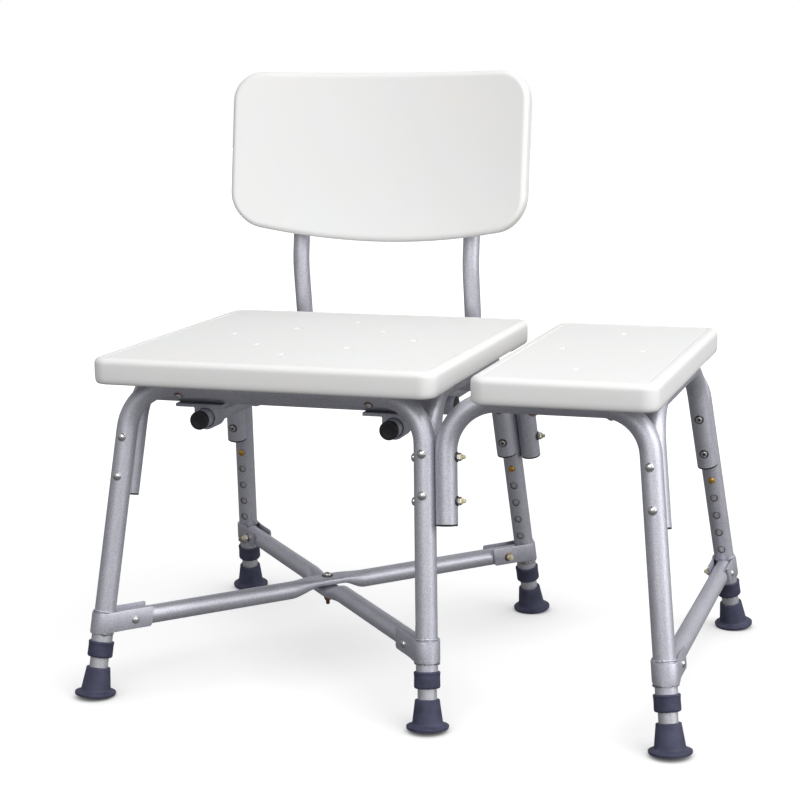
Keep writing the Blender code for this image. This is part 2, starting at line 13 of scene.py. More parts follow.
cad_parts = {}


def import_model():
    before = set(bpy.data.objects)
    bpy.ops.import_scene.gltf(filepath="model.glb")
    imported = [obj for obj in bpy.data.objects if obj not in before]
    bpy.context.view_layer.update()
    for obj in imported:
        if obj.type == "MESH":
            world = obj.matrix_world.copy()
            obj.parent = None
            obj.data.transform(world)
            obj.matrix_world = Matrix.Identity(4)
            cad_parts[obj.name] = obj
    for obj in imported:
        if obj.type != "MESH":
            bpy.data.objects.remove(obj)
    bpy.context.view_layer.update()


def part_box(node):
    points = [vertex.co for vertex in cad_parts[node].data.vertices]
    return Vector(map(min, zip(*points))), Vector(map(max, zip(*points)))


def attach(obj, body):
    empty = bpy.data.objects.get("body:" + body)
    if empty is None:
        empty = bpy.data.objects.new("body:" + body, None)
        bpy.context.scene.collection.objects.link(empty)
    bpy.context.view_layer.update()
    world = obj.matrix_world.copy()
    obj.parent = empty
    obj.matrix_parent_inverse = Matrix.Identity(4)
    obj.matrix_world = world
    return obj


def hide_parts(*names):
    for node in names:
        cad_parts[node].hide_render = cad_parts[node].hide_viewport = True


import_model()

seat_low, seat_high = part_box("main_seat")
MAIN_SEAT_TOP = 0.4550
SHIFT = Vector(
    ((seat_low.x + seat_high.x) / 2, (seat_low.y + seat_high.y) / 2, seat_high.z - MAIN_SEAT_TOP)
)

# ---------------------------------------------------------------- dimensions, as the solids have them
FRAME_TUBE = 0.0143
FRAME_WALL = 0.0014
LEG_TUBE = 0.0125
LEG_WALL = 0.0014
BRACE_TUBE = 0.0127
BACK_TUBE = 0.0127
THIN_WALL = 0.0013
GAP = 0.0003
MAIN_SPREAD = 0.471
DEPTH_SPREAD = 0.555
EXTENSION_REACH = 0.3123
RAIL_Z = 0.4106
BEND_RADIUS = 0.064
SIDE_END_Z = 0.260
JOINED_END_Z = 0.2535
OUTER_TUBE_END_Z = 0.0580
LEG_TOP_Z = 0.2620
LEG_BOTTOM_Z = 0.0130
BUTTON_Z = 0.2345
HOLE_PITCH = 0.0280
COLLAR_RADIUS = 0.0174
FOOT_RADIUS = 0.0277
FOOT_HEIGHT = 0.0360
SOLE_TILT = 0.5
SOLE_DROP = 0.0050
BRACE_Z = 0.0937
BRACE_SETBACK = 0.0180
BRACKET_HEIGHT = 0.0267
BRACKET_MIDDLE = BRACE_Z + 0.0016
BRACKET_THICKNESS = 0.0022
BRACKET_REACH = 0.0650
BRACKET_BOLT = 0.0400
SEAT_HEIGHT = 0.0355
EXTENSION_SEAT_TOP = 0.4520
EXTENSION_SEAT_X = 0.4015
BACK_TUBE_X = 0.1378
BACK_KINK = (0.2790, 0.5300)
BACK_LEAN = 0.140
CROSSBAR_Y = 0.090
CROSSBAR_HALF_LENGTH = 0.2205
CROSSBAR_Z = RAIL_Z - FRAME_TUBE - GAP - BRACE_TUBE
PASSAGE_RADIUS = 0.0138
PLUG_RADIUS = 0.0130
BACK_TUBE_Z = CROSSBAR_Z - BRACE_TUBE - GAP - 0.0045 - PASSAGE_RADIUS
SIDE_BOLT_Z = (0.3400, 0.2880)
JOINING_BOLT_Z = (0.3360, 0.2810)
SCREW_X = {"main": (-0.135, 0.134), "extension": (0.351, 0.452)}
MAIN_SEAT_SIZE = (0.477, 0.508)
EXTENSION_SEAT_SIZE = (0.2395, 0.508)
SEAT_CORNER = 0.022
SEAT_EDGE = 0.0085
BACK_TUBE_FRONT_Y = -0.1220
BACK_TUBE_BEND_Y = 0.3060
BACK_TUBE_TOP_Z = 0.78
BACK_BENDS = (0.060, 0.120)
PANEL_SIZE = (0.469, 0.230)
PANEL_CORNER = 0.045
PANEL_THICKNESS = 0.0330
PANEL_EDGE = 0.0085
PANEL_WRAP = 0.0290
PANEL_BOW = 0.0260
PANEL_Z = 0.7015
PANEL_SCREW_Z = (0.640, 0.752)
FLAT_HALF_WIDTH = 0.0169
FLAT_HALF_HEIGHT = 0.0059
FLAT_REACH = 0.019
FLAT_FADE = 0.060

# ---------------------------------------------------------------- sizes of details and of the stage
TUBE_SIDES = 32
PLUG_DEPTH = 0.0100
HOLE_COUNT = 5
HOLE_RADIUS = 0.0050
DRAIN = ((0.0030, -0.0260, 0.0020, 0.0), (0.0046, -0.0012, 0.0020, 0.0012))
FLOOR_Z = -0.0002
FLOOR_HALF_SIZE = 14.0
FLOOR_CELLS = 14
CAMERA_PLACE = (0.9113, -2.4704, 0.8472)
CAMERA_ANGLES = (-0.3126, 0.1818, -0.0097)
FOCAL_PIXELS = 1881.63
IMAGE_PIXELS = 800
SENSOR = 36.0

COLUMNS = {
    "left": (-MAIN_SPREAD / 2, 0.070),
    "right": (MAIN_SPREAD / 2, -0.070),
    "extension": (MAIN_SPREAD / 2 + EXTENSION_REACH, -0.121),
}
ROWS = {"front": (-DEPTH_SPREAD / 2, 0.214), "rear": (DEPTH_SPREAD / 2, -0.214)}


# ---------------------------------------------------------------- materials
def set_sockets(node, sockets):
    """Set a node's sockets by name, with _ for each space."""
    for name, value in sockets.items():
        node.inputs[name.replace("_", " ")].default_value = value


def new_node(tree, kind, **sockets):
    made = tree.nodes.new("ShaderNode" + kind)
    set_sockets(made, sockets)
    return made


def ramp_node(tree, stops):
    """A colour ramp from (position, colour) stops."""
    made = new_node(tree, "ValToRGB")
    elements = made.color_ramp.elements
    while len(elements) < len(stops):
        elements.new(0.5)
    for element, (position, colour) in zip(elements, stops):
        element.position = position
        element.color = (*colour, 1.0)
    return made


class Surface:
    """A Principled material whose node tree is built step by step."""

    def __init__(self, name, colour, roughness, metallic=0.0):
        self.material = bpy.data.materials.new(name)
        self.material.use_nodes = True
        self.tree = self.material.node_tree
        self.shader = self.tree.nodes["Principled BSDF"]
        self.set(Base_Color=(*colour, 1.0), Roughness=roughness, Metallic=metallic)
        self.place = new_node(self.tree, "TexCoord").outputs["Object"]

    def set(self, **sockets):
        set_sockets(self.shader, sockets)

    def link(self, source, target):
        self.tree.links.new(source, target)

    def noise(self, scale, detail=3.0, roughness=0.55):
        """A noise pattern in object space, with scale in features per metre."""
        made = new_node(self.tree, "TexNoise", Scale=scale, Detail=detail, Roughness=roughness)
        self.link(self.place, made.inputs["Vector"])
        return made.outputs["Fac"]

    def cells(self, scale):
        """Rounded cells in object space, such as the grain of a moulded surface."""
        made = new_node(self.tree, "TexVoronoi", Scale=scale)
        made.feature = "SMOOTH_F1"
        made.inputs["Smoothness"].default_value = 0.8
        self.link(self.place, made.inputs["Vector"])
        return made.outputs["Distance"]

    def ramp(self, source, stops):
        made = ramp_node(self.tree, stops)
        self.link(source, made.inputs["Fac"])
        return made.outputs["Color"]

    def scaled(self, source, low, high, from_low=0.3, from_high=0.7):
        """A value moved from one range to another."""
        made = new_node(
            self.tree, "MapRange", From_Min=from_low, From_Max=from_high, To_Min=low, To_Max=high
        )
        self.link(source, made.inputs["Value"])
        return made.outputs["Result"]

    def multiplied(self, first, second):
        """Two colours multiplied."""
        made = self.tree.nodes.new("ShaderNodeMix")
        made.data_type = "RGBA"
        made.blend_type = "MULTIPLY"
        made.inputs["Factor"].default_value = 1.0
        self.link(first, made.inputs["A"])
        self.link(second, made.inputs["B"])
        return made.outputs["Result"]

    def colour(self, source):
        self.link(source, self.shader.inputs["Base Color"])

    def rough(self, source):
        self.link(source, self.shader.inputs["Roughness"])

    def bump(self, source, strength, distance, under=None):
        made = new_node(self.tree, "Bump", Strength=strength, Distance=distance)
        self.link(source, made.inputs["Height"])
        if under is not None:
            self.link(under, made.inputs["Normal"])
        self.link(made.outputs["Normal"], self.shader.inputs["Normal"])
        return made.outputs["Normal"]


def shade(colour, factor):
    return tuple(min(1.0, channel * factor) for channel in colour)


def anodised(name, base):
    """Clear anodised tube: a fine blasted grain with faint cloudy patches."""
    made = Surface(name, base, 0.42, 0.80)
    grain = made.noise(850.0, 3.0, 0.65)
    clouds = made.noise(16.0, 3.0)
    fine = made.ramp(grain, ((0.32, shade(base, 0.70)), (0.68, shade(base, 1.22))))
    tone = made.ramp(clouds, ((0.30, (0.90, 0.90, 0.91)), (0.70, (1.0, 1.0, 1.0))))
    made.colour(made.multiplied(fine, tone))
    made.rough(made.scaled(grain, 0.42, 0.56))
    made.bump(grain, 0.35, 0.00025)
    return made.material


def plated(name, base, roughness):
    """Plated steel with faint smears."""
    made = Surface(name, base, roughness, 1.0)
    smear = made.noise(420.0, 3.0)
    made.colour(made.ramp(smear, ((0.30, shade(base, 0.70)), (0.62, base))))
    made.rough(made.scaled(smear, roughness + 0.12, roughness - 0.05))
    made.bump(made.noise(900.0), 0.10, 0.0001)
    return made.material


def rubber(name, base):
    """Moulded rubber: matt, slightly dusty, with a fine skin."""
    made = Surface(name, base, 0.62)
    dust = made.noise(60.0, 4.0)
    skin = made.noise(1800.0, 2.0)
    pale = tuple(channel * 1.45 + 0.006 for channel in base)
    made.colour(made.ramp(dust, ((0.34, shade(base, 0.86)), (0.72, pale))))
    made.rough(made.scaled(dust, 0.52, 0.70))
    made.bump(skin, 0.20, 0.0002)
    made.set(Specular_IOR_Level=0.45)
    return made.material


def moulded(name, base, roughness, grain_scale, grain_depth):
    """Moulded white plastic with a pebble grain and a very faint warm and cool mottle."""
    made = Surface(name, base, roughness)
    mottle = made.noise(7.0, 2.0)
    warm = (base[0], base[1] * 0.992, base[2] * 0.972)
    cool = (base[0] * 0.985, base[1] * 0.990, base[2])
    made.colour(made.ramp(mottle, ((0.32, warm), (0.70, cool))))
    grain = made.cells(grain_scale)
    made.rough(made.scaled(grain, roughness - 0.06, roughness + 0.08, 0.0, 0.8))
    soft = made.noise(90.0, 2.0)
    under = made.bump(soft, 0.08, 0.0006)
    made.bump(grain, 0.45, grain_depth, under)
    made.set(
        Subsurface_Weight=0.06, Subsurface_Radius=(0.004, 0.004, 0.0035), Subsurface_Scale=1.0
    )
    return made.material


def black_plastic(name):
    made = Surface(name, (0.014, 0.014, 0.016), 0.46)
    scuff = made.noise(300.0, 3.0)
    worn = (0.030, 0.030, 0.034)
    made.colour(made.ramp(scuff, ((0.35, (0.010, 0.010, 0.012)), (0.75, worn))))
    made.rough(made.scaled(scuff, 0.36, 0.58))
    made.bump(made.noise(1400.0), 0.20, 0.0002)
    return made.material


def weld_metal(name):
    made = Surface(name, (0.36, 0.36, 0.37), 0.5, 0.75)
    soot = made.noise(520.0, 4.0, 0.7)
    made.colour(made.ramp(soot, ((0.36, (0.13, 0.125, 0.12)), (0.62, (0.50, 0.50, 0.51)))))
    made.rough(made.scaled(soot, 0.72, 0.38))
    made.bump(soot, 0.7, 0.0006)
    return made.material


ANODISED = anodised("anodised_tube", (0.66, 0.665, 0.725))
STRAP = anodised("anodised_strap", (0.62, 0.625, 0.69))
INNER = anodised("anodised_inner_leg", (0.70, 0.705, 0.74))
ZINC = plated("bright_zinc", (0.72, 0.72, 0.71), 0.20)
DARK_STEEL = plated("dark_washer", (0.16, 0.145, 0.13), 0.38)
BROWN_STEEL = plated("brown_nut", (0.30, 0.17, 0.11), 0.36)
BRASS = plated("gold_button", (0.78, 0.44, 0.09), 0.28)
RUBBER = rubber("navy_rubber", (0.042, 0.044, 0.082))
BLACK = black_plastic("black_plug")
WELD = weld_metal("weld")
NYLON = moulded("nylon_insert", (0.80, 0.72, 0.44), 0.45, 900.0, 0.0001)
PLASTIC = moulded("white_plastic", (0.84, 0.84, 0.83), 0.46, 900.0, 0.00012)
GRAINED = moulded("white_plastic_grained", (0.83, 0.83, 0.82), 0.52, 420.0, 0.00035)


# ---------------------------------------------------------------- legs and points
def leg_direction(row, column):
    return Vector((COLUMNS[column][1], ROWS[row][1], 1.0)).normalized()


def on_leg(row, column, height, offset=Vector((0, 0, 0))):
    """The point at a height on a leg's axis, or on a line beside it."""
    start = Vector((COLUMNS[column][0], ROWS[row][0], 0.0)) + offset
    axis = leg_direction(row, column)
    return start + axis * ((height - start.z) / axis.z)


def square_to_leg(row, column, towards):
    axis = leg_direction(row, column)
    return (towards - axis * towards.dot(axis)).normalized()


def inward(row, column):
    return square_to_leg(row, column, Vector((0, 1 if row == "front" else -1, 0)))


def eased(share):
    """A share of 0 to 1 that starts and ends gently."""
    return share * share * (3 - 2 * share)


# ---------------------------------------------------------------- mesh building
def finished(name, mesh_data, materials, body, replaced=(), sharp=40.0):
    """Turn a bmesh into a shaded piece that rides on a body and stands for CAD nodes."""
    bmesh.ops.recalc_face_normals(mesh_data, faces=mesh_data.faces)
    mesh = bpy.data.meshes.new(name)
    mesh_data.to_mesh(mesh)
    mesh_data.free()
    mesh.shade_smooth()
    mesh.set_sharp_from_angle(angle=math.radians(sharp))
    made = bpy.data.objects.new(name, mesh)
    bpy.context.scene.collection.objects.link(made)
    made.location = SHIFT
    for each in materials:
        made.data.materials.append(each)
    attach(made, body)
    if replaced:
        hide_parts(*replaced)
    return made


def ring(mesh, centre, across, along, half_width, half_height, sides, power=2.0):
    """Points of an ellipse, or of a squarer loop when the power is over 2."""
    points = []
    for index in range(sides):
        angle = 2 * math.pi * (index + 0.5) / sides
        c, s = math.cos(angle), math.sin(angle)
        x = math.copysign(abs(c) ** (2 / power), c) * half_width
        y = math.copysign(abs(s) ** (2 / power), s) * half_height
        points.append(mesh.verts.new(centre + across * x + along * y))
    return points


def skin(mesh, first, second, index=0):
    """Join two rings with faces. A vertex in place of a ring closes the shape in a point."""
    if isinstance(first, bmesh.types.BMVert):
        first, second = second, first
    for step, vertex in enumerate(first):
        after = (step + 1) % len(first)
        if isinstance(second, bmesh.types.BMVert):
            corners = (vertex, first[after], second)
        else:
            corners = (vertex, first[after], second[after], second[step])
        mesh.faces.new(corners).material_index = index


def skin_all(mesh, rings, index=0, closed=False):
    """Join each ring to the next, and the last to the first where the skin closes."""
    for first, second in zip(rings, rings[1:] + rings[:1] if closed else rings[1:]):
        skin(mesh, first, second, index)


def lathe(mesh, origin, axis, profile, sides=40, index=0):
    """Turn (radius, distance) points about an axis. A radius of 0 closes the shape at that end."""
    across = axis.orthogonal().normalized()
    along = axis.cross(across)
    rings = []
    for radius, distance in profile:
        centre = origin + axis * distance
        if radius <= 1e-7:
            rings.append(mesh.verts.new(centre))
        else:
            rings.append(ring(mesh, centre, across, along, radius, radius, sides))
    skin_all(mesh, rings, index, closed=profile[0][0] > 1e-7)


def arc(centre, radius, start, end, steps):
    """Points of an arc in a profile, with angles in degrees."""
    points = []
    for step in range(steps + 1):
        angle = math.radians(start + (end - start) * step / steps)
        x = centre[0] + radius * math.cos(angle)
        points.append((x, centre[1] + radius * math.sin(angle)))
    return points


def round_corners(corners, radii, steps):
    """The path through the corners, with each inner corner rounded to its radius."""
    path = [corners[0]]
    for before, corner, after, radius in zip(corners, corners[1:], corners[2:], radii):
        arriving = (corner - before).normalized()
        leaving = (after - corner).normalized()
        turn = arriving.angle(leaving)
        side = (leaving - arriving * leaving.dot(arriving)).normalized()
        start = corner - arriving * radius * math.tan(turn / 2)
        for step in range(steps + 1):
            angle = turn * step / steps
            forward = arriving * radius * math.sin(angle)
            path.append(start + forward + side * radius * (1 - math.cos(angle)))
    path.append(corners[-1])
    return path


def divided(path, spacing):
    """The path with extra points, so that no step is longer than the spacing."""
    points = [path[0]]
    for before, after in zip(path, path[1:]):
        count = max(1, math.ceil((after - before).length / spacing))
        points += [before.lerp(after, step / count) for step in range(1, count + 1)]
    return points


def tangents(path):
    steps = [(after - before).normalized() for before, after in zip(path, path[1:])]
    inner = [(first + second).normalized() for first, second in zip(steps, steps[1:])]
    return [steps[0], *inner, steps[-1]]


def tube_into(mesh, path, normal, radius, wall, squeeze=None):
    """A hollow tube along a flat path, with its end edges broken. squeeze(distance) gives
    (half width, half height, sideways shift, loop power) where the tube isn't round."""
    edge = 0.0005
    ends = [path[0], path[0].lerp(path[1], edge / (path[1] - path[0]).length)]
    tail = [path[-1].lerp(path[-2], edge / (path[-1] - path[-2]).length), path[-1]]
    line = ends + list(path[1:-1]) + tail
    travelled = 0.0
    outside, inside = [], []
    for step, (centre, direction) in enumerate(zip(line, tangents(line))):
        if step:
            travelled += (centre - line[step - 1]).length
        along = direction.cross(normal).normalized()
        half_width, half_height, shift, power = radius, radius, Vector((0, 0, 0)), 2.0
        if squeeze:
            half_width, half_height, shift, power = squeeze(travelled)
        worn = edge if step in (0, len(line) - 1) else 0.0
        for rings, less in ((outside, worn), (inside, wall)):
            width, height = half_width - less, half_height - less
            rings.append(ring(mesh, centre + shift, normal, along, width, height, TUBE_SIDES, power))
    skin_all(mesh, outside + inside[::-1], closed=True)


def add_cylinder(mesh, centre, turn, radius, depth, segments, flare=0.0):
    """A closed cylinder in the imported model's frame, which may widen towards its top."""
    bmesh.ops.create_cone(
        mesh,
        cap_ends=True,
        segments=segments,
        radius1=radius,
        radius2=radius + flare,
        depth=depth,
        matrix=Matrix.Translation(centre + SHIFT) @ turn,
    )


def add_block(mesh, centre, size):
    """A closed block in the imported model's frame."""
    shape = Matrix.Translation(centre + SHIFT) @ Matrix.Diagonal((*size, 1))
    bmesh.ops.create_cube(mesh, size=1.0, matrix=shape)


def drilled(piece, holes):
    """Drill round holes, each (start, end, radius) about the main seat, and bake them in."""
    mesh = bmesh.new()
    for start, end, radius in holes:
        turn = (end - start).to_track_quat("Z", "Y").to_matrix().to_4x4()
        add_cylinder(mesh, (start + end) / 2, turn, radius, (end - start).length, 24)
    cut_with(piece, mesh)


def cut_with(piece, cutter_mesh):
    """Cut closed shapes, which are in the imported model's frame, out of a piece and bake that in."""
    bmesh.ops.recalc_face_normals(cutter_mesh, faces=cutter_mesh.faces)
    data = bpy.data.meshes.new("cutter")
    cutter_mesh.to_mesh(data)
    cutter_mesh.free()
    cutter = bpy.data.objects.new("cutter", data)
    bpy.context.scene.collection.objects.link(cutter)
    boolean = piece.modifiers.new("cut", "BOOLEAN")
    boolean.operation = "DIFFERENCE"
    boolean.solver = "EXACT"
    boolean.object = cutter
    bpy.context.view_layer.update()
    graph = bpy.context.evaluated_depsgraph_get()
    baked = bpy.data.meshes.new_from_object(piece.evaluated_get(graph))
    piece.modifiers.clear()
    old = piece.data
    piece.data = baked
    bpy.data.meshes.remove(old)
    bpy.data.objects.remove(cutter)
    piece.data.shade_smooth()
    piece.data.set_sharp_from_angle(angle=math.radians(35))


# ---------------------------------------------------------------- frame tubes
def frame_tube(name, corners, holes):
    path = divided(round_corners(corners, (BEND_RADIUS, BEND_RADIUS), 14), 0.012)
    normal = (corners[1] - corners[0]).cross(corners[2] - corners[1]).normalized()
    mesh = bmesh.new()
    tube_into(mesh, path, normal, FRAME_TUBE, FRAME_WALL)
    piece = finished(name + "_tube", mesh, [ANODISED], "frame", [name])
    if holes:
        drilled(piece, holes)


def button_holes(row, column):
    out = inward(row, column)
    down = -leg_direction(row, column)
    holes = []
    for index in range(HOLE_COUNT):
        centre = on_leg(row, column, BUTTON_Z) + down * HOLE_PITCH * index
        holes.append((centre + out * 0.0100, centre + out * 0.0200, HOLE_RADIUS))
    return holes


def end_plug(name, mouth, out_of, radius, wall, body):
    """A black plug in a tube's open end, with a thin domed rim that covers the cut edge."""
    rim = 0.0020
    inner = radius - wall - 0.0002
    profile = [(0.0, rim + 0.0006), (radius * 0.45, rim + 0.0005), (radius * 0.78, rim)]
    profile += arc((radius - 0.0009, rim - 0.0008), 0.0008, 80, 0, 5)
    profile += [(radius - 0.0001, 0.0002), (inner, 0.0002), (inner - 0.0004, -PLUG_DEPTH)]
    profile += [(0.0, -PLUG_DEPTH)]
    mesh = bmesh.new()
    lathe(mesh, mouth, out_of, profile, 36)
    finished(name, mesh, [BLACK], body)


def frames():
    spacing = 2 * FRAME_TUBE + GAP
    for row in ROWS:
        corners = [
            on_leg(row, "left", OUTER_TUBE_END_Z),
            on_leg(row, "left", RAIL_Z),
            on_leg(row, "right", RAIL_Z),
            on_leg(row, "right", OUTER_TUBE_END_Z),
        ]
        holes = button_holes(row, "left") + button_holes(row, "right")
        frame_tube(f"main_{row}_frame", corners, holes)
        beside = square_to_leg(row, "right", Vector((1, 0, 0))) * spacing
        corners = [
            on_leg(row, "right", JOINED_END_Z, beside),
            on_leg(row, "right", RAIL_Z, beside),
            on_leg(row, "extension", RAIL_Z),
            on_leg(row, "extension", OUTER_TUBE_END_Z),
        ]
        frame_tube(f"extension_{row}_frame", corners, button_holes(row, "extension"))
        down = -leg_direction(row, "right")
        end_plug(f"{row}_joined_end_plug", corners[0], down, FRAME_TUBE, FRAME_WALL, "frame")

    for column in COLUMNS:
        front = inward("front", column) * spacing
        rear = inward("rear", column) * spacing
        corners = [
            on_leg("front", column, SIDE_END_Z, front),
            on_leg("front", column, RAIL_Z, front),
            on_leg("rear", column, RAIL_Z, rear),
            on_leg("rear", column, SIDE_END_Z, rear),
        ]
        frame_tube(f"{column}_side_frame", corners, [])
        for row, mouth in (("front", corners[0]), ("rear", corners[-1])):
            down = -leg_direction(row, column)
            end_plug(f"{row}_{column}_side_end_plug", mouth, down, FRAME_TUBE, FRAME_WALL, "frame")


# ---------------------------------------------------------------- bolts
# Each bolt's mesh has three materials: its metal, its washer's metal, and a third for the rest.
METAL, WASHER, REST = 0, 1, 2


def dome_head(mesh, seat_point, out, radius=0.0056, height=0.0040):
    """A domed bolt head that sits on a tube, over a thin flange."""
    flange = 0.0007
    profile = [(0.0, height)]
    for step in range(1, 9):
        angle = math.radians(90 - 90 * step / 8)
        profile.append((radius * math.cos(angle), flange + (height - flange) * math.sin(angle)))
    profile += [(radius + 0.0004, 0.0005), (radius + 0.0004, -0.0012), (0.0, -0.0012)]
    lathe(mesh, seat_point, out, profile, 36, METAL)


def socket_head(mesh, seat_point, out):
    """A round barrel nut with a hexagon socket, over a dark washer."""
    radius = 0.0046
    washer = [(0.0, -0.0010), (0.0066, -0.0010), (0.0066, 0.0008), (0.0062, 0.0012), (0.0, 0.0012)]
    lathe(mesh, seat_point, out, washer, 36, WASHER)
    profile = [(0.0, 0.0008), (radius, 0.0010), (radius, 0.0022)]
    profile += arc((radius - 0.0010, 0.0022), 0.0010, 0, 80, 5)
    profile += [(0.0024, 0.0034), (0.0024, 0.0016), (0.0, 0.0016)]
    lathe(mesh, seat_point, out, profile, 36, METAL)
    # Painted shade: the socket is a black hexagon disc at the bottom of the head's round recess.
    socket = [(0.0, 0.0018), (0.0023, 0.0018), (0.0023, 0.0015), (0.0, 0.0015)]
    lathe(mesh, seat_point, out, socket, 6, REST)


def nut_and_tip(mesh, seat_point, out, tip=0.0040, nut=METAL):
    """A washer, a hexagon nut with its nylon ring, and the thread's end standing out of it."""
    washer = [(0.0, -0.0012), (0.0066, -0.0012), (0.0068, -0.0008), (0.0068, 0.0010)]
    washer += [(0.0064, 0.0013), (0.0, 0.0013)]
    lathe(mesh, seat_point, out, washer, 36, WASHER)
    hexagon = [(0.0, 0.0013), (0.0050, 0.0013), (0.0055, 0.0018), (0.0055, 0.0052)]
    hexagon += [(0.0049, 0.0058), (0.0, 0.0058)]
    lathe(mesh, seat_point, out, hexagon, 6, nut)
    insert = [(0.0, 0.0056), (0.0044, 0.0056), (0.0044, 0.0068), (0.0038, 0.0075), (0.0, 0.0075)]
    lathe(mesh, seat_point, out, insert, 32, REST)
    start, pitch = 0.0074, 0.0008
    thread = [(0.0, 0.0070)]
    distance = start
    while distance < start + tip - pitch:
        thread += [(0.0025, distance), (0.0029, distance + 0.0003), (0.0025, distance + 0.0006)]
        distance += pitch
    thread += [(0.0022, start + tip), (0.0, start + tip)]
    lathe(mesh, seat_point, out, thread, 24, REST)


def side_bolts():
    """Bolts through each leg into the end of the side frame beside it."""
    for row in ROWS:
        for column in COLUMNS:
            out = -inward(row, column)
            for place, height in zip(("upper", "lower"), SIDE_BOLT_Z):
                centre = on_leg(row, column, height)
                mesh = bmesh.new()
                dome_head(mesh, centre + out * (FRAME_TUBE - 0.0002), out)
                far = centre - out * (3 * FRAME_TUBE + GAP - 0.0003)
                socket_head(mesh, far, -out)
                name = f"{row}_{column}_side_bolt_{place}"
                finished(name, mesh, [ZINC, DARK_STEEL, BLACK], "frame")


def joining_bolts():
    for row in ROWS:
        across = square_to_leg(row, "right", Vector((1, 0, 0)))
        for place, height in zip(("upper", "lower"), JOINING_BOLT_Z):
            centre = on_leg(row, "right", height)
            mesh = bmesh.new()
            dome_head(mesh, centre - across * (FRAME_TUBE - 0.0002), -across)
            far = centre + across * (3 * FRAME_TUBE + GAP - 0.0003)
            nut_and_tip(mesh, far, across)
            name = f"{row}_joining_bolt_{place}"
            finished(name + "_detail", mesh, [ZINC, DARK_STEEL, NYLON], "frame", [name])


# ---------------------------------------------------------------- telescopic legs
def legs():
    for row in ROWS:
        for column in COLUMNS:
            body = f"{row}_{column}_leg"
            axis = leg_direction(row, column)
            normal = Vector((1, 0, 0)).cross(axis).normalized()
            path = divided([on_leg(row, column, LEG_BOTTOM_Z), on_leg(row, column, LEG_TOP_Z)], 0.012)
            mesh = bmesh.new()
            tube_into(mesh, path, normal, LEG_TUBE, LEG_WALL)
            node = f"{row}_{column}_leg_tube"
            tube = finished(f"{row}_{column}_inner_leg", mesh, [INNER], body, [node])
            centre = on_leg(row, column, BUTTON_Z)
            out = inward(row, column)
            drilled(tube, [(centre + out * 0.008, centre + out * 0.018, HOLE_RADIUS)])
            collar(row, column)
            foot(row, column)
            snap_button(row, column)
            hole_shade_rings(row, column)


def hole_shade_rings(row, column):
    """Dark rings round the spare button holes, on the outer leg's round wall: painted shade of their
    gaps.
    """
    axis = leg_direction(row, column)
    out = inward(row, column)
    across = axis.cross(out)
    # Painted shade: each ring is a dark band that stands in for the shadow in the gap round a hole.
    section = ((0.0056, 0.0001), (0.0048, 0.0001), (0.0048, -0.0012), (0.0056, -0.0012))
    mesh = bmesh.new()
    for index in range(1, HOLE_COUNT):
        centre = on_leg(row, column, BUTTON_Z) - axis * HOLE_PITCH * index
        rings = []
        for radius, proud in section:
            points = []
            for step in range(TUBE_SIDES):
                angle = 2 * math.pi * step / TUBE_SIDES
                sideways = radius * math.cos(angle)
                height = math.sqrt((FRAME_TUBE + proud) ** 2 - sideways**2)
                place = centre + across * sideways + axis * radius * math.sin(angle) + out * height
                points.append(mesh.verts.new(place))
            rings.append(points)
        skin_all(mesh, rings, closed=True)
    finished(f"{row}_{column}_hole_shade_rings", mesh, [DARK_STEEL], "frame")


def snap_button(row, column):
    tip = FRAME_TUBE + 0.0030
    radius, dome = 0.0046, 0.0018
    profile = [(0.0, 0.0070), (radius, 0.0070), (radius, tip - dome)]
    for step in range(1, 9):
        angle = math.radians(90 * step / 8)
        profile.append((radius * math.cos(angle), tip - dome + dome * math.sin(angle)))
    profile[-1] = (0.0, tip)
    mesh = bmesh.new()
    lathe(mesh, on_leg(row, column, BUTTON_Z), inward(row, column), profile, 32)
    name = f"{row}_{column}_snap_button"
    finished(name + "_dome", mesh, [BRASS], f"{row}_{column}_button", [name])


def collar(row, column):
    """A rubber ring with a raised lip at its top and a softly rolled lower edge."""
    inner = LEG_TUBE + 0.0005
    outer = FRAME_TUBE + 0.0004
    radius = COLLAR_RADIUS
    profile = [(inner, -0.0108)]
    profile += arc((radius - 0.0030, -0.0082), 0.0026, -90, -12, 8)
    profile += [(radius - 0.0004, -0.0062), (radius - 0.0006, 0.0042), (radius - 0.0004, 0.0054)]
    profile += arc((radius - 0.0018, 0.0092), 0.0018, -35, 90, 9)
    profile += [(outer + 0.0003, 0.0111), (outer, 0.0104), (outer, -0.0002), (inner, -0.0002)]
    mesh = bmesh.new()
    end = on_leg(row, column, OUTER_TUBE_END_Z)
    lathe(mesh, end, leg_direction(row, column), profile, 48)
    name = f"{row}_{column}_collar"
    finished(name + "_ring", mesh, [RUBBER], "frame", [name])


def sole(row, column):
    """Centre and upward normal of a foot's sole, which tilts half way to the lean of its leg."""
    normal = Vector((0, 0, 1)).lerp(leg_direction(row, column), SOLE_TILT).normalized()
    rise = FOOT_RADIUS * math.sqrt(1 - normal.z**2)
    return on_leg(row, column, rise - SOLE_DROP), normal


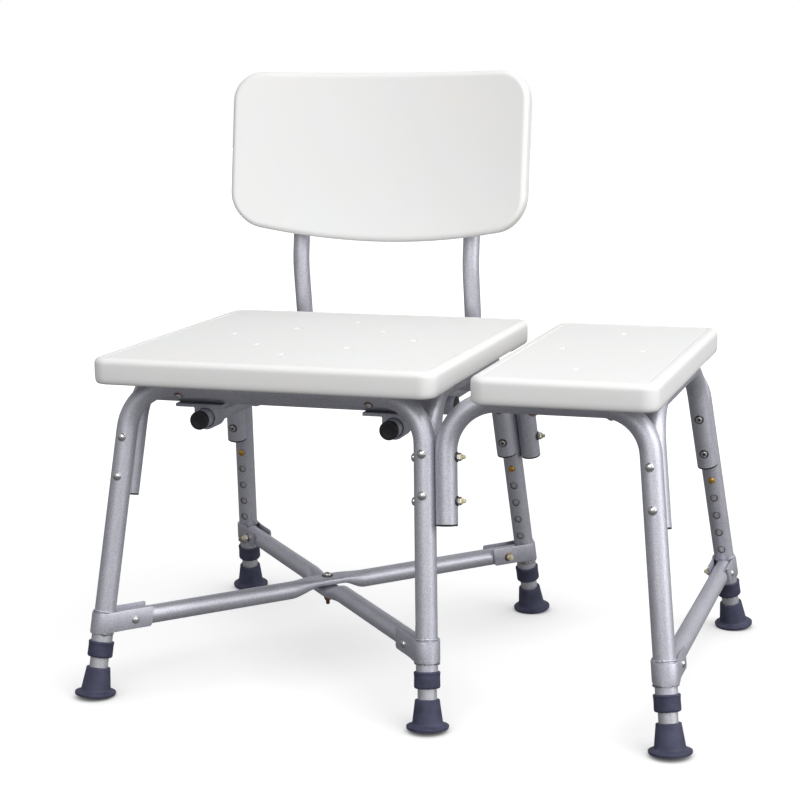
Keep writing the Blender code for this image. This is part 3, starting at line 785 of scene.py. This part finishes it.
def foot(row, column):
    """A rubber foot: a saucer flange with a ribbed sole, and a tapered body up to its mouth."""
    bore = LEG_TUBE + 0.0004
    rim = FOOT_RADIUS
    outline = [(0.0, 0.0016), (0.0060, 0.0016)]
    for radius in (0.0080, 0.0130, 0.0180):
        outline += [(radius, 0.0016), (radius + 0.0005, 0.0)]
        outline += [(radius + 0.0025, 0.0), (radius + 0.0030, 0.0016)]
    outline += [(0.0226, 0.0016), (0.0232, 0.0), (rim - 0.0012, 0.0), (rim - 0.0004, 0.0006)]
    outline += arc((rim - 0.0008, 0.0030), 0.0008, -20, 80, 5)
    outline += [(rim - 0.0014, 0.0041), (0.0226, 0.0054), (0.0210, 0.0061)]
    outline += [(0.0203, 0.0067), (0.0199, 0.0076), (0.0196, 0.0090)]
    outline += [(0.0184, 0.0180), (0.0172, 0.0265), (0.0163, 0.0335)]
    outline += arc((0.0150, FOOT_HEIGHT - 0.0012), 0.0012, 10, 90, 5)
    base, tilted = sole(row, column)
    socket = LEG_BOTTOM_Z - 0.0008 - base.z
    outline += [(bore + 0.0004, FOOT_HEIGHT), (bore, FOOT_HEIGHT - 0.0006), (bore, socket)]
    outline += [(0.0, socket)]
    mesh = bmesh.new()
    axis = leg_direction(row, column)
    rings = []
    for radius, height in outline:
        share = min(1.0, max(0.0, height - 0.0062) / FOOT_HEIGHT * 1.3)
        if radius <= bore and height > 0.005:
            share = 1.0
        normal = tilted.lerp(axis, share).normalized()
        across = normal.cross(Vector((0, 1, 0))).normalized()
        along = normal.cross(across)
        centre = on_leg(row, column, base.z + height)
        if radius == 0.0:
            rings.append(mesh.verts.new(centre))
        else:
            rings.append(ring(mesh, centre, across, along, radius, radius, 56))
    skin_all(mesh, rings)
    name = f"{row}_{column}_foot"
    finished(name + "_rubber", mesh, [RUBBER], f"{row}_{column}_leg", [name])


# ---------------------------------------------------------------- brackets and braces
def bracket(row, column, towards, nut_side):
    """A strap round the leg with two ears, its bolt and nut, and the weld that holds it."""
    inner_round = FRAME_TUBE + 0.0008
    outer_round = inner_round + BRACKET_THICKNESS
    inner_ear = BRACE_TUBE + 0.0004
    outer_ear = inner_ear + BRACKET_THICKNESS
    half = BRACKET_HEIGHT / 2
    chamfer = 0.0020
    corner = 0.0012

    # The section's upper half, from the end of an ear to the round part, as
    # (reach, outer, inner, drop). The drop chamfers the ear's corners.
    stations = []
    for reach, drop in ((BRACKET_REACH, chamfer), (BRACKET_REACH - chamfer, 0.0), (0.030, 0.0)):
        stations.append((reach, outer_ear, inner_ear, drop))
    for step in range(7):
        ease = eased(step / 6)
        outer = outer_ear + (outer_round - outer_ear) * ease
        inner = inner_ear + (inner_round - inner_ear) * ease
        stations.append((0.026 * (1 - step / 6), outer, inner, 0.0))
    outside = [(reach, outer) for reach, outer, _, _ in stations]
    inside = [(reach, inner) for reach, _, inner, _ in stations]
    for step in range(1, 24):
        angle = math.pi / 2 + math.pi * step / 24
        outside.append((outer_round * math.cos(angle), outer_round * math.sin(angle)))
        inside.append((inner_round * math.cos(angle), inner_round * math.sin(angle)))
    outside += [(reach, -outer) for reach, outer, _, _ in reversed(stations)]
    inside += [(reach, -inner) for reach, _, inner, _ in reversed(stations)]
    drops = [drop for *_, drop in stations]
    drops = drops + [0.0] * 23 + drops[::-1]

    side = Vector((towards.y, -towards.x, 0))
    mesh = bmesh.new()
    loops = []
    levels = (
        (-half, inside, 0.0),
        (-half, outside, corner),
        (-half + corner, outside, 0.0),
        (half - corner, outside, 0.0),
        (half, outside, corner),
        (half, inside, 0.0),
    )
    for level, line, pull in levels:
        loop = []
        for (s, o), drop in zip(line, drops):
            height = BRACKET_MIDDLE + level - math.copysign(drop, level)
            shrink = 1.0 - pull * 0.35 / max(abs(o), 0.004)
            place = on_leg(row, column, height) + towards * s + side * o * shrink
            loop.append(mesh.verts.new(place))
        loops.append(loop)
    for first, second in zip(loops, loops[1:] + loops[:1]):
        for index in range(len(first) - 1):
            mesh.faces.new((first[index], first[index + 1], second[index + 1], second[index]))
    for end in (0, -1):
        mesh.faces.new([loop[end] for loop in loops])
    name = f"{row}_{column}_bracket"
    finished(name + "_strap", mesh, [STRAP], "frame", [name], sharp=32)

    centre = on_leg(row, column, BRACE_Z) + towards * BRACKET_BOLT
    bolt = bmesh.new()
    out = side * nut_side
    dome_head(bolt, centre - out * (outer_ear - 0.0002), -out, 0.0052, 0.0036)
    nut_and_tip(bolt, centre + out * (outer_ear - 0.0003), out, 0.0030)
    finished(f"{row}_{column}_bracket_bolt", bolt, [ZINC, BROWN_STEEL, NYLON], "frame")
    weld(row, column, towards)


def weld(row, column, towards):
    """Uneven weld beads round the leg, just above and just below the strap."""
    axis = leg_direction(row, column)
    across = (towards - axis * towards.dot(axis)).normalized()
    along = axis.cross(across)
    count = 84
    beads = (("lower", -1, 0.0023, 158, 0.0023, WELD), ("upper", 1, 0.0013, 150, -0.0002, STRAP))
    for place, level, thick, spread, setback, metal in beads:
        mesh = bmesh.new()
        height = BRACKET_MIDDLE + level * (BRACKET_HEIGHT / 2 + setback)
        centre = on_leg(row, column, height)
        rings = []
        for step in range(count + 1):
            share = step / count
            angle = math.radians(180 - spread + 2 * spread * share)
            c, s = math.cos(angle), math.sin(angle)
            out = across * c + along * s
            round_trip = Vector((c, s, level * 3 + COLUMNS[column][0] * 7)) * 4.2
            wobble = noise.noise(round_trip) * 0.55 + noise.noise(round_trip * 4.3) * 0.45
            fade = min(1.0, 9 * share, 9 * (1 - share))
            size = thick * (0.80 + 0.55 * wobble + 0.10 * math.sin(step * 1.35)) * fade + 0.00015
            middle = centre + out * (FRAME_TUBE + 0.0003) + axis * level * thick * 0.35 * wobble
            rings.append(ring(mesh, middle, out, axis, size, size * 1.05, 9))
        skin_all(mesh, rings)
        mesh.faces.new(rings[0])
        mesh.faces.new(rings[-1])
        finished(f"{row}_{column}_weld_{place}", mesh, [metal], "frame")


def crossed_brace(name, first, second, side):
    """A brace tube that is pressed flat in the middle, where it crosses the other one."""
    start = on_leg(*first, BRACE_Z)
    end = on_leg(*second, BRACE_Z)
    along = (end - start).normalized()
    half = (end - start).length / 2 - BRACE_SETBACK
    middle = (start + end) / 2
    lift = BRACE_TUBE - FLAT_HALF_HEIGHT

    def squeeze(travelled):
        distance = abs(travelled - half)
        flat = eased(min(1.0, max(0.0, (FLAT_FADE - distance) / (FLAT_FADE - FLAT_REACH))))
        half_width = BRACE_TUBE + (FLAT_HALF_WIDTH - BRACE_TUBE) * flat
        half_height = BRACE_TUBE + (FLAT_HALF_HEIGHT - BRACE_TUBE) * flat
        return half_width, half_height, Vector((0, 0, side * lift * flat)), 2.0 + 1.2 * flat

    path = [middle + along * distance for distance in (-half, -0.070, 0.070, half)]
    path = [path[0]] + divided(path[1:3], 0.003) + [path[3]]
    across = along.cross(Vector((0, 0, 1))).normalized()
    mesh = bmesh.new()
    tube_into(mesh, path, across, BRACE_TUBE, THIN_WALL, squeeze)
    finished(name + "_tube", mesh, [ANODISED], "frame", [name])


def braces():
    front_left = on_leg("front", "left", BRACE_Z)
    rear_right = on_leg("rear", "right", BRACE_Z)
    diagonal = (rear_right - front_left).normalized()
    mirrored = Vector((-diagonal.x, diagonal.y, 0))
    directions = {
        ("front", "left"): (diagonal, -1),
        ("rear", "right"): (-diagonal, -1),
        ("front", "right"): (mirrored, 1),
        ("rear", "left"): (-mirrored, 1),
        ("front", "extension"): (Vector((0, 1, 0)), -1),
        ("rear", "extension"): (Vector((0, -1, 0)), 1),
    }
    for (row, column), (towards, nut_side) in directions.items():
        bracket(row, column, towards, nut_side)
    crossed_brace("upper_cross_brace", ("front", "left"), ("rear", "right"), 1)
    crossed_brace("lower_cross_brace", ("front", "right"), ("rear", "left"), -1)

    setback = Vector((0, BRACE_SETBACK, 0))
    start = on_leg("front", "extension", BRACE_Z) + setback
    end = on_leg("rear", "extension", BRACE_Z) - setback
    mesh = bmesh.new()
    tube_into(mesh, [start, start.lerp(end, 0.5), end], Vector((1, 0, 0)), BRACE_TUBE, THIN_WALL)
    finished("extension_brace_tube", mesh, [ANODISED], "frame", ["extension_brace"])

    up = Vector((0, 0, 1))
    centre = (front_left + rear_right) / 2
    washer = [(0.0, -0.0004), (0.0084, -0.0004), (0.0084, 0.0010), (0.0080, 0.0014), (0.0, 0.0014)]
    spacer = [(0.0, -0.0010), (0.0052, -0.0010), (0.0056, 0.0002)]
    spacer += [(0.0056, 0.0030), (0.0052, 0.0036), (0.0, 0.0036)]
    mesh = bmesh.new()
    lathe(mesh, centre + up * BRACE_TUBE, up, washer, 40, WASHER)
    dome_head(mesh, centre + up * (BRACE_TUBE + 0.0013), up, 0.0054, 0.0042)
    lathe(mesh, centre - up * BRACE_TUBE, -up, spacer, 32, WASHER)
    nut_and_tip(mesh, centre - up * (BRACE_TUBE + 0.0034), -up, 0.0060, nut=REST)
    metals = [ZINC, DARK_STEEL, BROWN_STEEL]
    finished("crossing_bolt_detail", mesh, metals, "frame", ["crossing_bolt"])


# ---------------------------------------------------------------- seats
def outline_points(width, depth, corner, inset, along=6):
    """A rounded rectangle, anticlockwise, with points along its straight sides too."""
    radius = max(corner - inset, 0.0015)
    corners = []
    for sign_x, sign_y, start in ((1, 1, 0), (-1, 1, 90), (-1, -1, 180), (1, -1, 270)):
        centre_x = sign_x * (width / 2 - inset - radius)
        centre_y = sign_y * (depth / 2 - inset - radius)
        turn = arc((centre_x, centre_y), radius, start, start + 90, 10)
        corners.append([Vector(point) for point in turn])
    points = []
    for turn, following in zip(corners, corners[1:] + corners[:1]):
        points += turn
        points += [turn[-1].lerp(following[0], step / along) for step in range(1, along)]
    return points


def seat(name, centre_x, size, top, holes):
    """A moulded seat: a smooth rounded border, a thin groove and a grained panel inside it."""
    bottom = top - SEAT_HEIGHT
    underside = RAIL_Z + FRAME_TUBE + GAP
    section = [(0.0080, underside), (0.0080, bottom + 0.0010), (0.0072, bottom), (0.0052, bottom)]
    section += [(0.0030, bottom + 0.0008), (0.0014, bottom + 0.0024), (0.0004, bottom + 0.0055)]
    section += [(0.0, bottom + 0.0100), (0.0, top - 0.0100)]
    for inset, drop in arc((SEAT_EDGE, -SEAT_EDGE), SEAT_EDGE, 180, 90, 9)[1:]:
        section.append((inset, top + drop))
    section += [(0.0120, top), (0.0136, top), (0.0141, top - 0.0002), (0.0147, top - 0.0005)]
    section += [(0.0156, top - 0.0005), (0.0162, top - 0.0003), (0.0170, top - 0.0003)]
    mesh = bmesh.new()
    rings = []
    for inset, height in section:
        points = outline_points(*size, SEAT_CORNER, inset)
        rings.append([mesh.verts.new((centre_x + p.x, p.y, height)) for p in points])
    skin_all(mesh, rings[:-1])
    skin(mesh, rings[-2], rings[-1], 1)
    mesh.faces.new(rings[0])
    mesh.faces.new(rings[-1]).material_index = 1
    piece = finished(name + "_moulding", mesh, [PLASTIC, GRAINED], "frame", [name])

    cutter = bmesh.new()
    for x, y in holes:
        for radius, low, high, flare in DRAIN:
            place = Vector((centre_x + x, y, top + (low + high) / 2))
            add_cylinder(cutter, place, Matrix(), radius, high - low, 28, flare)
    # The lip is cut away where the rails of the frame beside it pass under it.
    place = Vector((centre_x + size[0] / 2, -0.0025, bottom - 0.0065))
    add_block(cutter, place, (0.034, 0.315, 0.020))
    if name == "extension_seat":
        for row in ROWS:
            y = on_leg(row, "right", RAIL_Z).y
            place = Vector((centre_x - size[0] / 2, y, underside - 0.0200))
            add_block(cutter, place, (0.034, 2 * FRAME_TUBE + 0.0060, 0.0400))
    cut_with(piece, cutter)


def seats():
    main_holes = [(0, 0.154), (0, -0.158), (0.134, 0.003), (-0.134, 0.003)]
    main_holes += [(side * 0.066, y) for side in (-1, 1) for y in (0.074, -0.083)]
    seat("main_seat", 0.0, MAIN_SEAT_SIZE, MAIN_SEAT_TOP, main_holes)
    holes = [(0, 0.154), (0, -0.158), (-0.055, 0.003), (0.055, 0.003)]
    seat("extension_seat", EXTENSION_SEAT_X, EXTENSION_SEAT_SIZE, EXTENSION_SEAT_TOP, holes)
    seat_screws()


def seat_screws():
    """Screws that stand up through the rails into the seats, seen from below and in front."""
    down = Vector((0, 0, -1))
    depth = FRAME_TUBE - 0.0004
    mesh = bmesh.new()
    for row, side in (("front", -1), ("rear", 1)):
        out = Vector((0, side * 0.62, -0.78)).normalized()
        y = on_leg(row, "left", RAIL_Z).y
        for x in SCREW_X["main"]:
            screw_head(mesh, Vector((x, y, RAIL_Z)) + out * depth, out)
        y = on_leg(row, "extension", RAIL_Z).y
        for x in SCREW_X["extension"]:
            screw_head(mesh, Vector((x, y, RAIL_Z)) + down * depth, down)
    for column in COLUMNS:
        x = on_leg("front", column, RAIL_Z).x
        for y in (-0.030, 0.030):
            screw_head(mesh, Vector((x, y, RAIL_Z)) + down * depth, down)
    # The washers under these heads are brown steel: partly the washers' own colour, partly painted
    # shade round the heads.
    finished("seat_screws", mesh, [ZINC, BROWN_STEEL], "frame")


def screw_head(mesh, point, out):
    """A small domed head over a washer."""
    washer = [(0.0, -0.0010), (0.0060, -0.0010), (0.0062, 0.0004), (0.0056, 0.0010), (0.0, 0.0010)]
    lathe(mesh, point, out, washer, 28, WASHER)
    dome_head(mesh, point + out * 0.0008, out, 0.0042, 0.0026)


# ---------------------------------------------------------------- backrest
def back_tube_y(height):
    return BACK_KINK[0] + BACK_LEAN * (height - BACK_KINK[1])


def back_tubes():
    for side, name in ((-1, "left"), (1, "right")):
        x = side * BACK_TUBE_X
        corners = [
            Vector((x, BACK_TUBE_FRONT_Y, BACK_TUBE_Z)),
            Vector((x, BACK_TUBE_BEND_Y, BACK_TUBE_Z)),
            Vector((x, *BACK_KINK)),
            Vector((x, back_tube_y(BACK_TUBE_TOP_Z), BACK_TUBE_TOP_Z)),
        ]
        path = divided(round_corners(corners, BACK_BENDS, 16), 0.030)
        mesh = bmesh.new()
        tube_into(mesh, path, Vector((1, 0, 0)), BACK_TUBE, THIN_WALL)
        finished(f"{name}_back_tube_bent", mesh, [ANODISED], "backrest", [f"{name}_back_tube"])
        front_plug(name, corners[0])
        upward = (corners[-1] - corners[-2]).normalized()
        end_plug(f"{name}_back_tube_cap", corners[-1], upward, BACK_TUBE, THIN_WALL, "backrest")


def front_plug(name, mouth):
    """A thick black plug in the front end of a backrest tube, with a shallow dished face."""
    radius = PLUG_RADIUS
    inner = BACK_TUBE - THIN_WALL - 0.0003
    profile = [(0.0, 0.0072), (radius * 0.55, 0.0072), (radius * 0.70, 0.0079)]
    profile += arc((radius - 0.0012, 0.0068), 0.0012, 80, 0, 6)
    profile += [(radius, 0.0004), (inner, 0.0002), (inner, -PLUG_DEPTH), (0.0, -PLUG_DEPTH)]
    mesh = bmesh.new()
    lathe(mesh, mouth, Vector((0, -1, 0)), profile, 40)
    finished(f"{name}_front_plug", mesh, [BLACK], "backrest", [f"{name}_back_tube_plug"])


def back_panel():
    """The curved back panel: a rounded slab, wrapped forwards at its sides and bowed below."""
    width, height = PANEL_SIZE
    lean = Vector((0, BACK_LEAN, 1)).normalized()
    forward = Vector((0, -1, BACK_LEAN)).normalized()
    tube_offset = (2 * BACK_TUBE_X / width) ** 2 * PANEL_WRAP
    centre = Vector((0, back_tube_y(PANEL_Z), PANEL_Z)) + forward * (BACK_TUBE + GAP - tube_offset)

    def place(u, v, depth):
        share = min(1.0, (2 * u / width) ** 2)
        bow = PANEL_BOW * (1 - share) * eased(max(0.0, min(1.0, -v / (height / 2))))
        return centre + Vector((u, 0, 0)) + lean * (v - bow) + forward * (depth + PANEL_WRAP * share)

    edge, thick = PANEL_EDGE, PANEL_THICKNESS
    section = [(0.0140, 0.0), (0.0090, 0.0)]
    section += arc((edge, edge), edge, 270, 180, 8)
    section += arc((edge, thick - edge), edge, 180, 90, 10)
    section += [(0.0110, thick), (0.0140, thick)]
    mesh = bmesh.new()
    rings = []
    for inset, depth in section:
        points = panel_outline(inset)
        rings.append([mesh.verts.new(place(p.x, p.y, depth)) for p in points])
    skin_all(mesh, rings)
    for outline, depth in ((rings[0], 0.0), (rings[-1], thick)):
        fill_panel(mesh, outline, depth, place)
    finished("back_panel_moulding", mesh, [PLASTIC, GRAINED], "backrest", ["back_panel"])
    panel_screws()


def panel_outline(inset):
    return outline_points(*PANEL_SIZE, PANEL_CORNER, inset, along=14)


def fill_panel(mesh, outline, depth, place):
    """Close the middle of a curved face with rings that shrink towards its centre."""
    rings = [outline]
    for share in (0.96, 0.88, 0.76, 0.60, 0.44, 0.28, 0.12):
        points = [place(p.x * share, p.y * share, depth) for p in panel_outline(0.0140)]
        rings.append([mesh.verts.new(point) for point in points])
    rings.append(mesh.verts.new(place(0.0, 0.0, depth)))
    skin_all(mesh, rings)


def panel_screws():
    """Screws through the backrest tubes into the panel, seen from behind."""
    back = Vector((0, 1, -BACK_LEAN)).normalized()
    mesh = bmesh.new()
    for side in (-1, 1):
        for z in PANEL_SCREW_Z:
            point = Vector((side * BACK_TUBE_X, back_tube_y(z), z)) + back * (BACK_TUBE - 0.0003)
            screw_head(mesh, point, back)
    finished("back_panel_screws", mesh, [ZINC, BROWN_STEEL], "backrest")


def crossbars():
    for row, y in (("front", -CROSSBAR_Y), ("rear", CROSSBAR_Y)):
        ends = [Vector((side * CROSSBAR_HALF_LENGTH, y, CROSSBAR_Z)) for side in (-1, 1)]
        mesh = bmesh.new()
        tube_into(mesh, divided(ends, 0.06), Vector((0, 1, 0)), BRACE_TUBE, THIN_WALL)
        finished(f"{row}_crossbar_tube", mesh, [ANODISED], "frame", [f"{row}_crossbar"])
        for side, end in zip((-1, 1), ends):
            name = "left" if side < 0 else "right"
            out = Vector((side, 0, 0))
            end_plug(f"{row}_{name}_crossbar_cap", end, out, BRACE_TUBE, THIN_WALL, "frame")
        for side, name in ((-1, "left"), (1, "right")):
            saddle(f"{row}_{name}_saddle", side * BACK_TUBE_X, y)


def saddle(name, x, y):
    """A folded bracket under a crossbar: a plate, and a loop that the backrest tube runs in."""
    top = CROSSBAR_Z - BRACE_TUBE - GAP
    under = top - 0.0044
    outer = PASSAGE_RADIUS + 0.0032
    z = BACK_TUBE_Z
    outside = [(-0.0450, top), (0.0240, top), (0.0240, under), (outer + 0.0012, under)]
    outside += [(outer, under - 0.0012)]
    for step in range(25):
        angle = -math.pi * step / 24
        outside.append((outer * math.cos(angle), z + outer * math.sin(angle)))
    outside += [(-outer, under - 0.0012), (-outer - 0.0012, under), (-0.0450, under)]
    mesh = bmesh.new()
    rings = []
    for end, worn in ((-0.0150, 0.0004), (-0.0145, 0.0), (0.0145, 0.0), (0.0150, 0.0004)):
        loop = []
        for across, height in outside:
            pulled = across - math.copysign(worn, across)
            loop.append(mesh.verts.new((x + pulled, y + end, height + (worn if height < z else 0.0))))
        rings.append(loop)
    skin_all(mesh, rings)
    mesh.faces.new(rings[0])
    mesh.faces.new(rings[-1])
    piece = finished(name + "_bracket", mesh, [STRAP], "frame", [name])
    passage = bmesh.new()
    turn = Matrix.Rotation(math.pi / 2, 4, "X")
    add_cylinder(passage, Vector((x, y, z)), turn, PASSAGE_RADIUS, 0.060, 48)
    cut_with(piece, passage)


# ---------------------------------------------------------------- stage, lights and camera
def floor():
    """A white sheet that glows, dimmer by the bench, with cast shadows and a painted shadow round the
    feet.
    """
    made = Surface("studio_floor", (0.42, 0.42, 0.42), 0.75)
    made.set(Specular_IOR_Level=0.0, Emission_Color=(1.0, 1.0, 1.0, 1.0))
    cloud = made.noise(0.8, 2.0)
    made.colour(made.ramp(cloud, ((0.3, (0.415, 0.415, 0.418)), (0.7, (0.425, 0.425, 0.428)))))
    reach = new_node(made.tree, "VectorMath")
    reach.operation = "LENGTH"
    made.link(made.place, reach.inputs[0])
    glow = made.scaled(reach.outputs["Value"], 0.72, 1.00, 0.8, 2.4)
    # Painted shadow: ambient occlusion darkens the floor's glow round the feet, legs and braces.
    painted_contact_shade = new_node(made.tree, "AmbientOcclusion", Distance=0.16)
    glow_with_painted_shade = new_node(made.tree, "Math")
    glow_with_painted_shade.operation = "MULTIPLY"
    made.link(glow, glow_with_painted_shade.inputs[0])
    made.link(painted_contact_shade.outputs["AO"], glow_with_painted_shade.inputs[1])
    made.link(glow_with_painted_shade.outputs["Value"], made.shader.inputs["Emission Strength"])
    mesh = bmesh.new()
    marks = [FLOOR_HALF_SIZE * (2 * index / FLOOR_CELLS - 1) for index in range(FLOOR_CELLS + 1)]
    grid = [[mesh.verts.new((x, y, FLOOR_Z)) for x in marks] for y in marks]
    for low, high in zip(grid, grid[1:]):
        for index in range(FLOOR_CELLS):
            mesh.faces.new((low[index], low[index + 1], high[index + 1], high[index]))
    data = bpy.data.meshes.new("studio_floor")
    mesh.to_mesh(data)
    mesh.free()
    sheet = bpy.data.objects.new("studio_floor", data)
    data.materials.append(made.material)
    sheet.visible_diffuse = False
    sheet.visible_glossy = False
    bpy.context.scene.collection.objects.link(sheet)


def area_light(name, location, target, size, power):
    data = bpy.data.lights.new(name, "AREA")
    data.shape = "RECTANGLE"
    data.size, data.size_y = size
    data.energy = power
    light = bpy.data.objects.new(name, data)
    light.location = location
    light.rotation_mode = "QUATERNION"
    light.rotation_quaternion = (Vector(target) - Vector(location)).to_track_quat("-Z", "Y")
    bpy.context.scene.collection.objects.link(light)


def world():
    """White to look at, and for the light a sky that dims towards the ground and to the left."""
    made = bpy.data.worlds.new("studio")
    bpy.context.scene.world = made
    made.use_nodes = True
    tree = made.node_tree
    place = new_node(tree, "TexCoord")
    parts = new_node(tree, "SeparateXYZ")
    height = new_node(tree, "MapRange", From_Min=-1.0, From_Max=1.0)
    across = new_node(tree, "MapRange", From_Min=-1.0, From_Max=1.0, To_Min=0.62, To_Max=1.25)
    levels = ((0.0, 0.17), (0.46, 0.24), (0.53, 0.54), (0.78, 0.62), (1.0, 0.62))
    sky = ramp_node(tree, [(mark, (level, level, level * 1.02)) for mark, level in levels])
    dimmed = new_node(tree, "VectorMath")
    dimmed.operation = "SCALE"
    path = new_node(tree, "LightPath")
    choice = new_node(tree, "Mix")
    choice.data_type = "RGBA"
    choice.inputs["B"].default_value = (1.0, 1.0, 1.0, 1.0)
    for source, target in (
        (place.outputs["Generated"], parts.inputs["Vector"]),
        (parts.outputs["Z"], height.inputs["Value"]),
        (parts.outputs["X"], across.inputs["Value"]),
        (height.outputs["Result"], sky.inputs["Fac"]),
        (sky.outputs["Color"], dimmed.inputs[0]),
        (across.outputs["Result"], dimmed.inputs["Scale"]),
        (dimmed.outputs["Vector"], choice.inputs["A"]),
        (path.outputs["Is Camera Ray"], choice.inputs["Factor"]),
        (choice.outputs["Result"], tree.nodes["Background"].inputs["Color"]),
    ):
        tree.links.new(source, target)


def lights():
    world()
    middle = (0.0, 0.0, 0.35)
    area_light("key", (1.55, -0.90, 2.85), middle, (1.6, 1.6), 36.0)
    area_light("front", (0.10, -2.90, 2.30), middle, (2.6, 2.0), 34.0)
    area_light("side", (3.20, -0.50, 1.50), middle, (2.4, 2.2), 38.0)


def camera():
    """The camera stands where the photographer's did, a little right of the bench and above it."""
    yaw, pitch, roll = CAMERA_ANGLES
    forward = Vector(
        (math.sin(yaw) * math.cos(pitch), math.cos(yaw) * math.cos(pitch), -math.sin(pitch))
    )
    right = Vector((math.cos(yaw), -math.sin(yaw), 0.0))
    up = right.cross(forward)
    turned_right = right * math.cos(roll) + up * math.sin(roll)
    turned_up = up * math.cos(roll) - right * math.sin(roll)
    place = Matrix((turned_right, turned_up, -forward)).transposed().to_4x4()
    place.translation = Vector(CAMERA_PLACE) + SHIFT
    data = bpy.data.cameras.new("camera")
    data.sensor_width = SENSOR
    data.lens = FOCAL_PIXELS / IMAGE_PIXELS * SENSOR
    view = bpy.data.objects.new("camera", data)
    view.matrix_world = place
    bpy.context.scene.collection.objects.link(view)
    bpy.context.scene.camera = view


frames()
side_bolts()
joining_bolts()
legs()
braces()
seats()
back_tubes()
back_panel()
crossbars()
floor()
lights()
camera()
bpy.context.scene.view_settings.view_transform = "Standard"
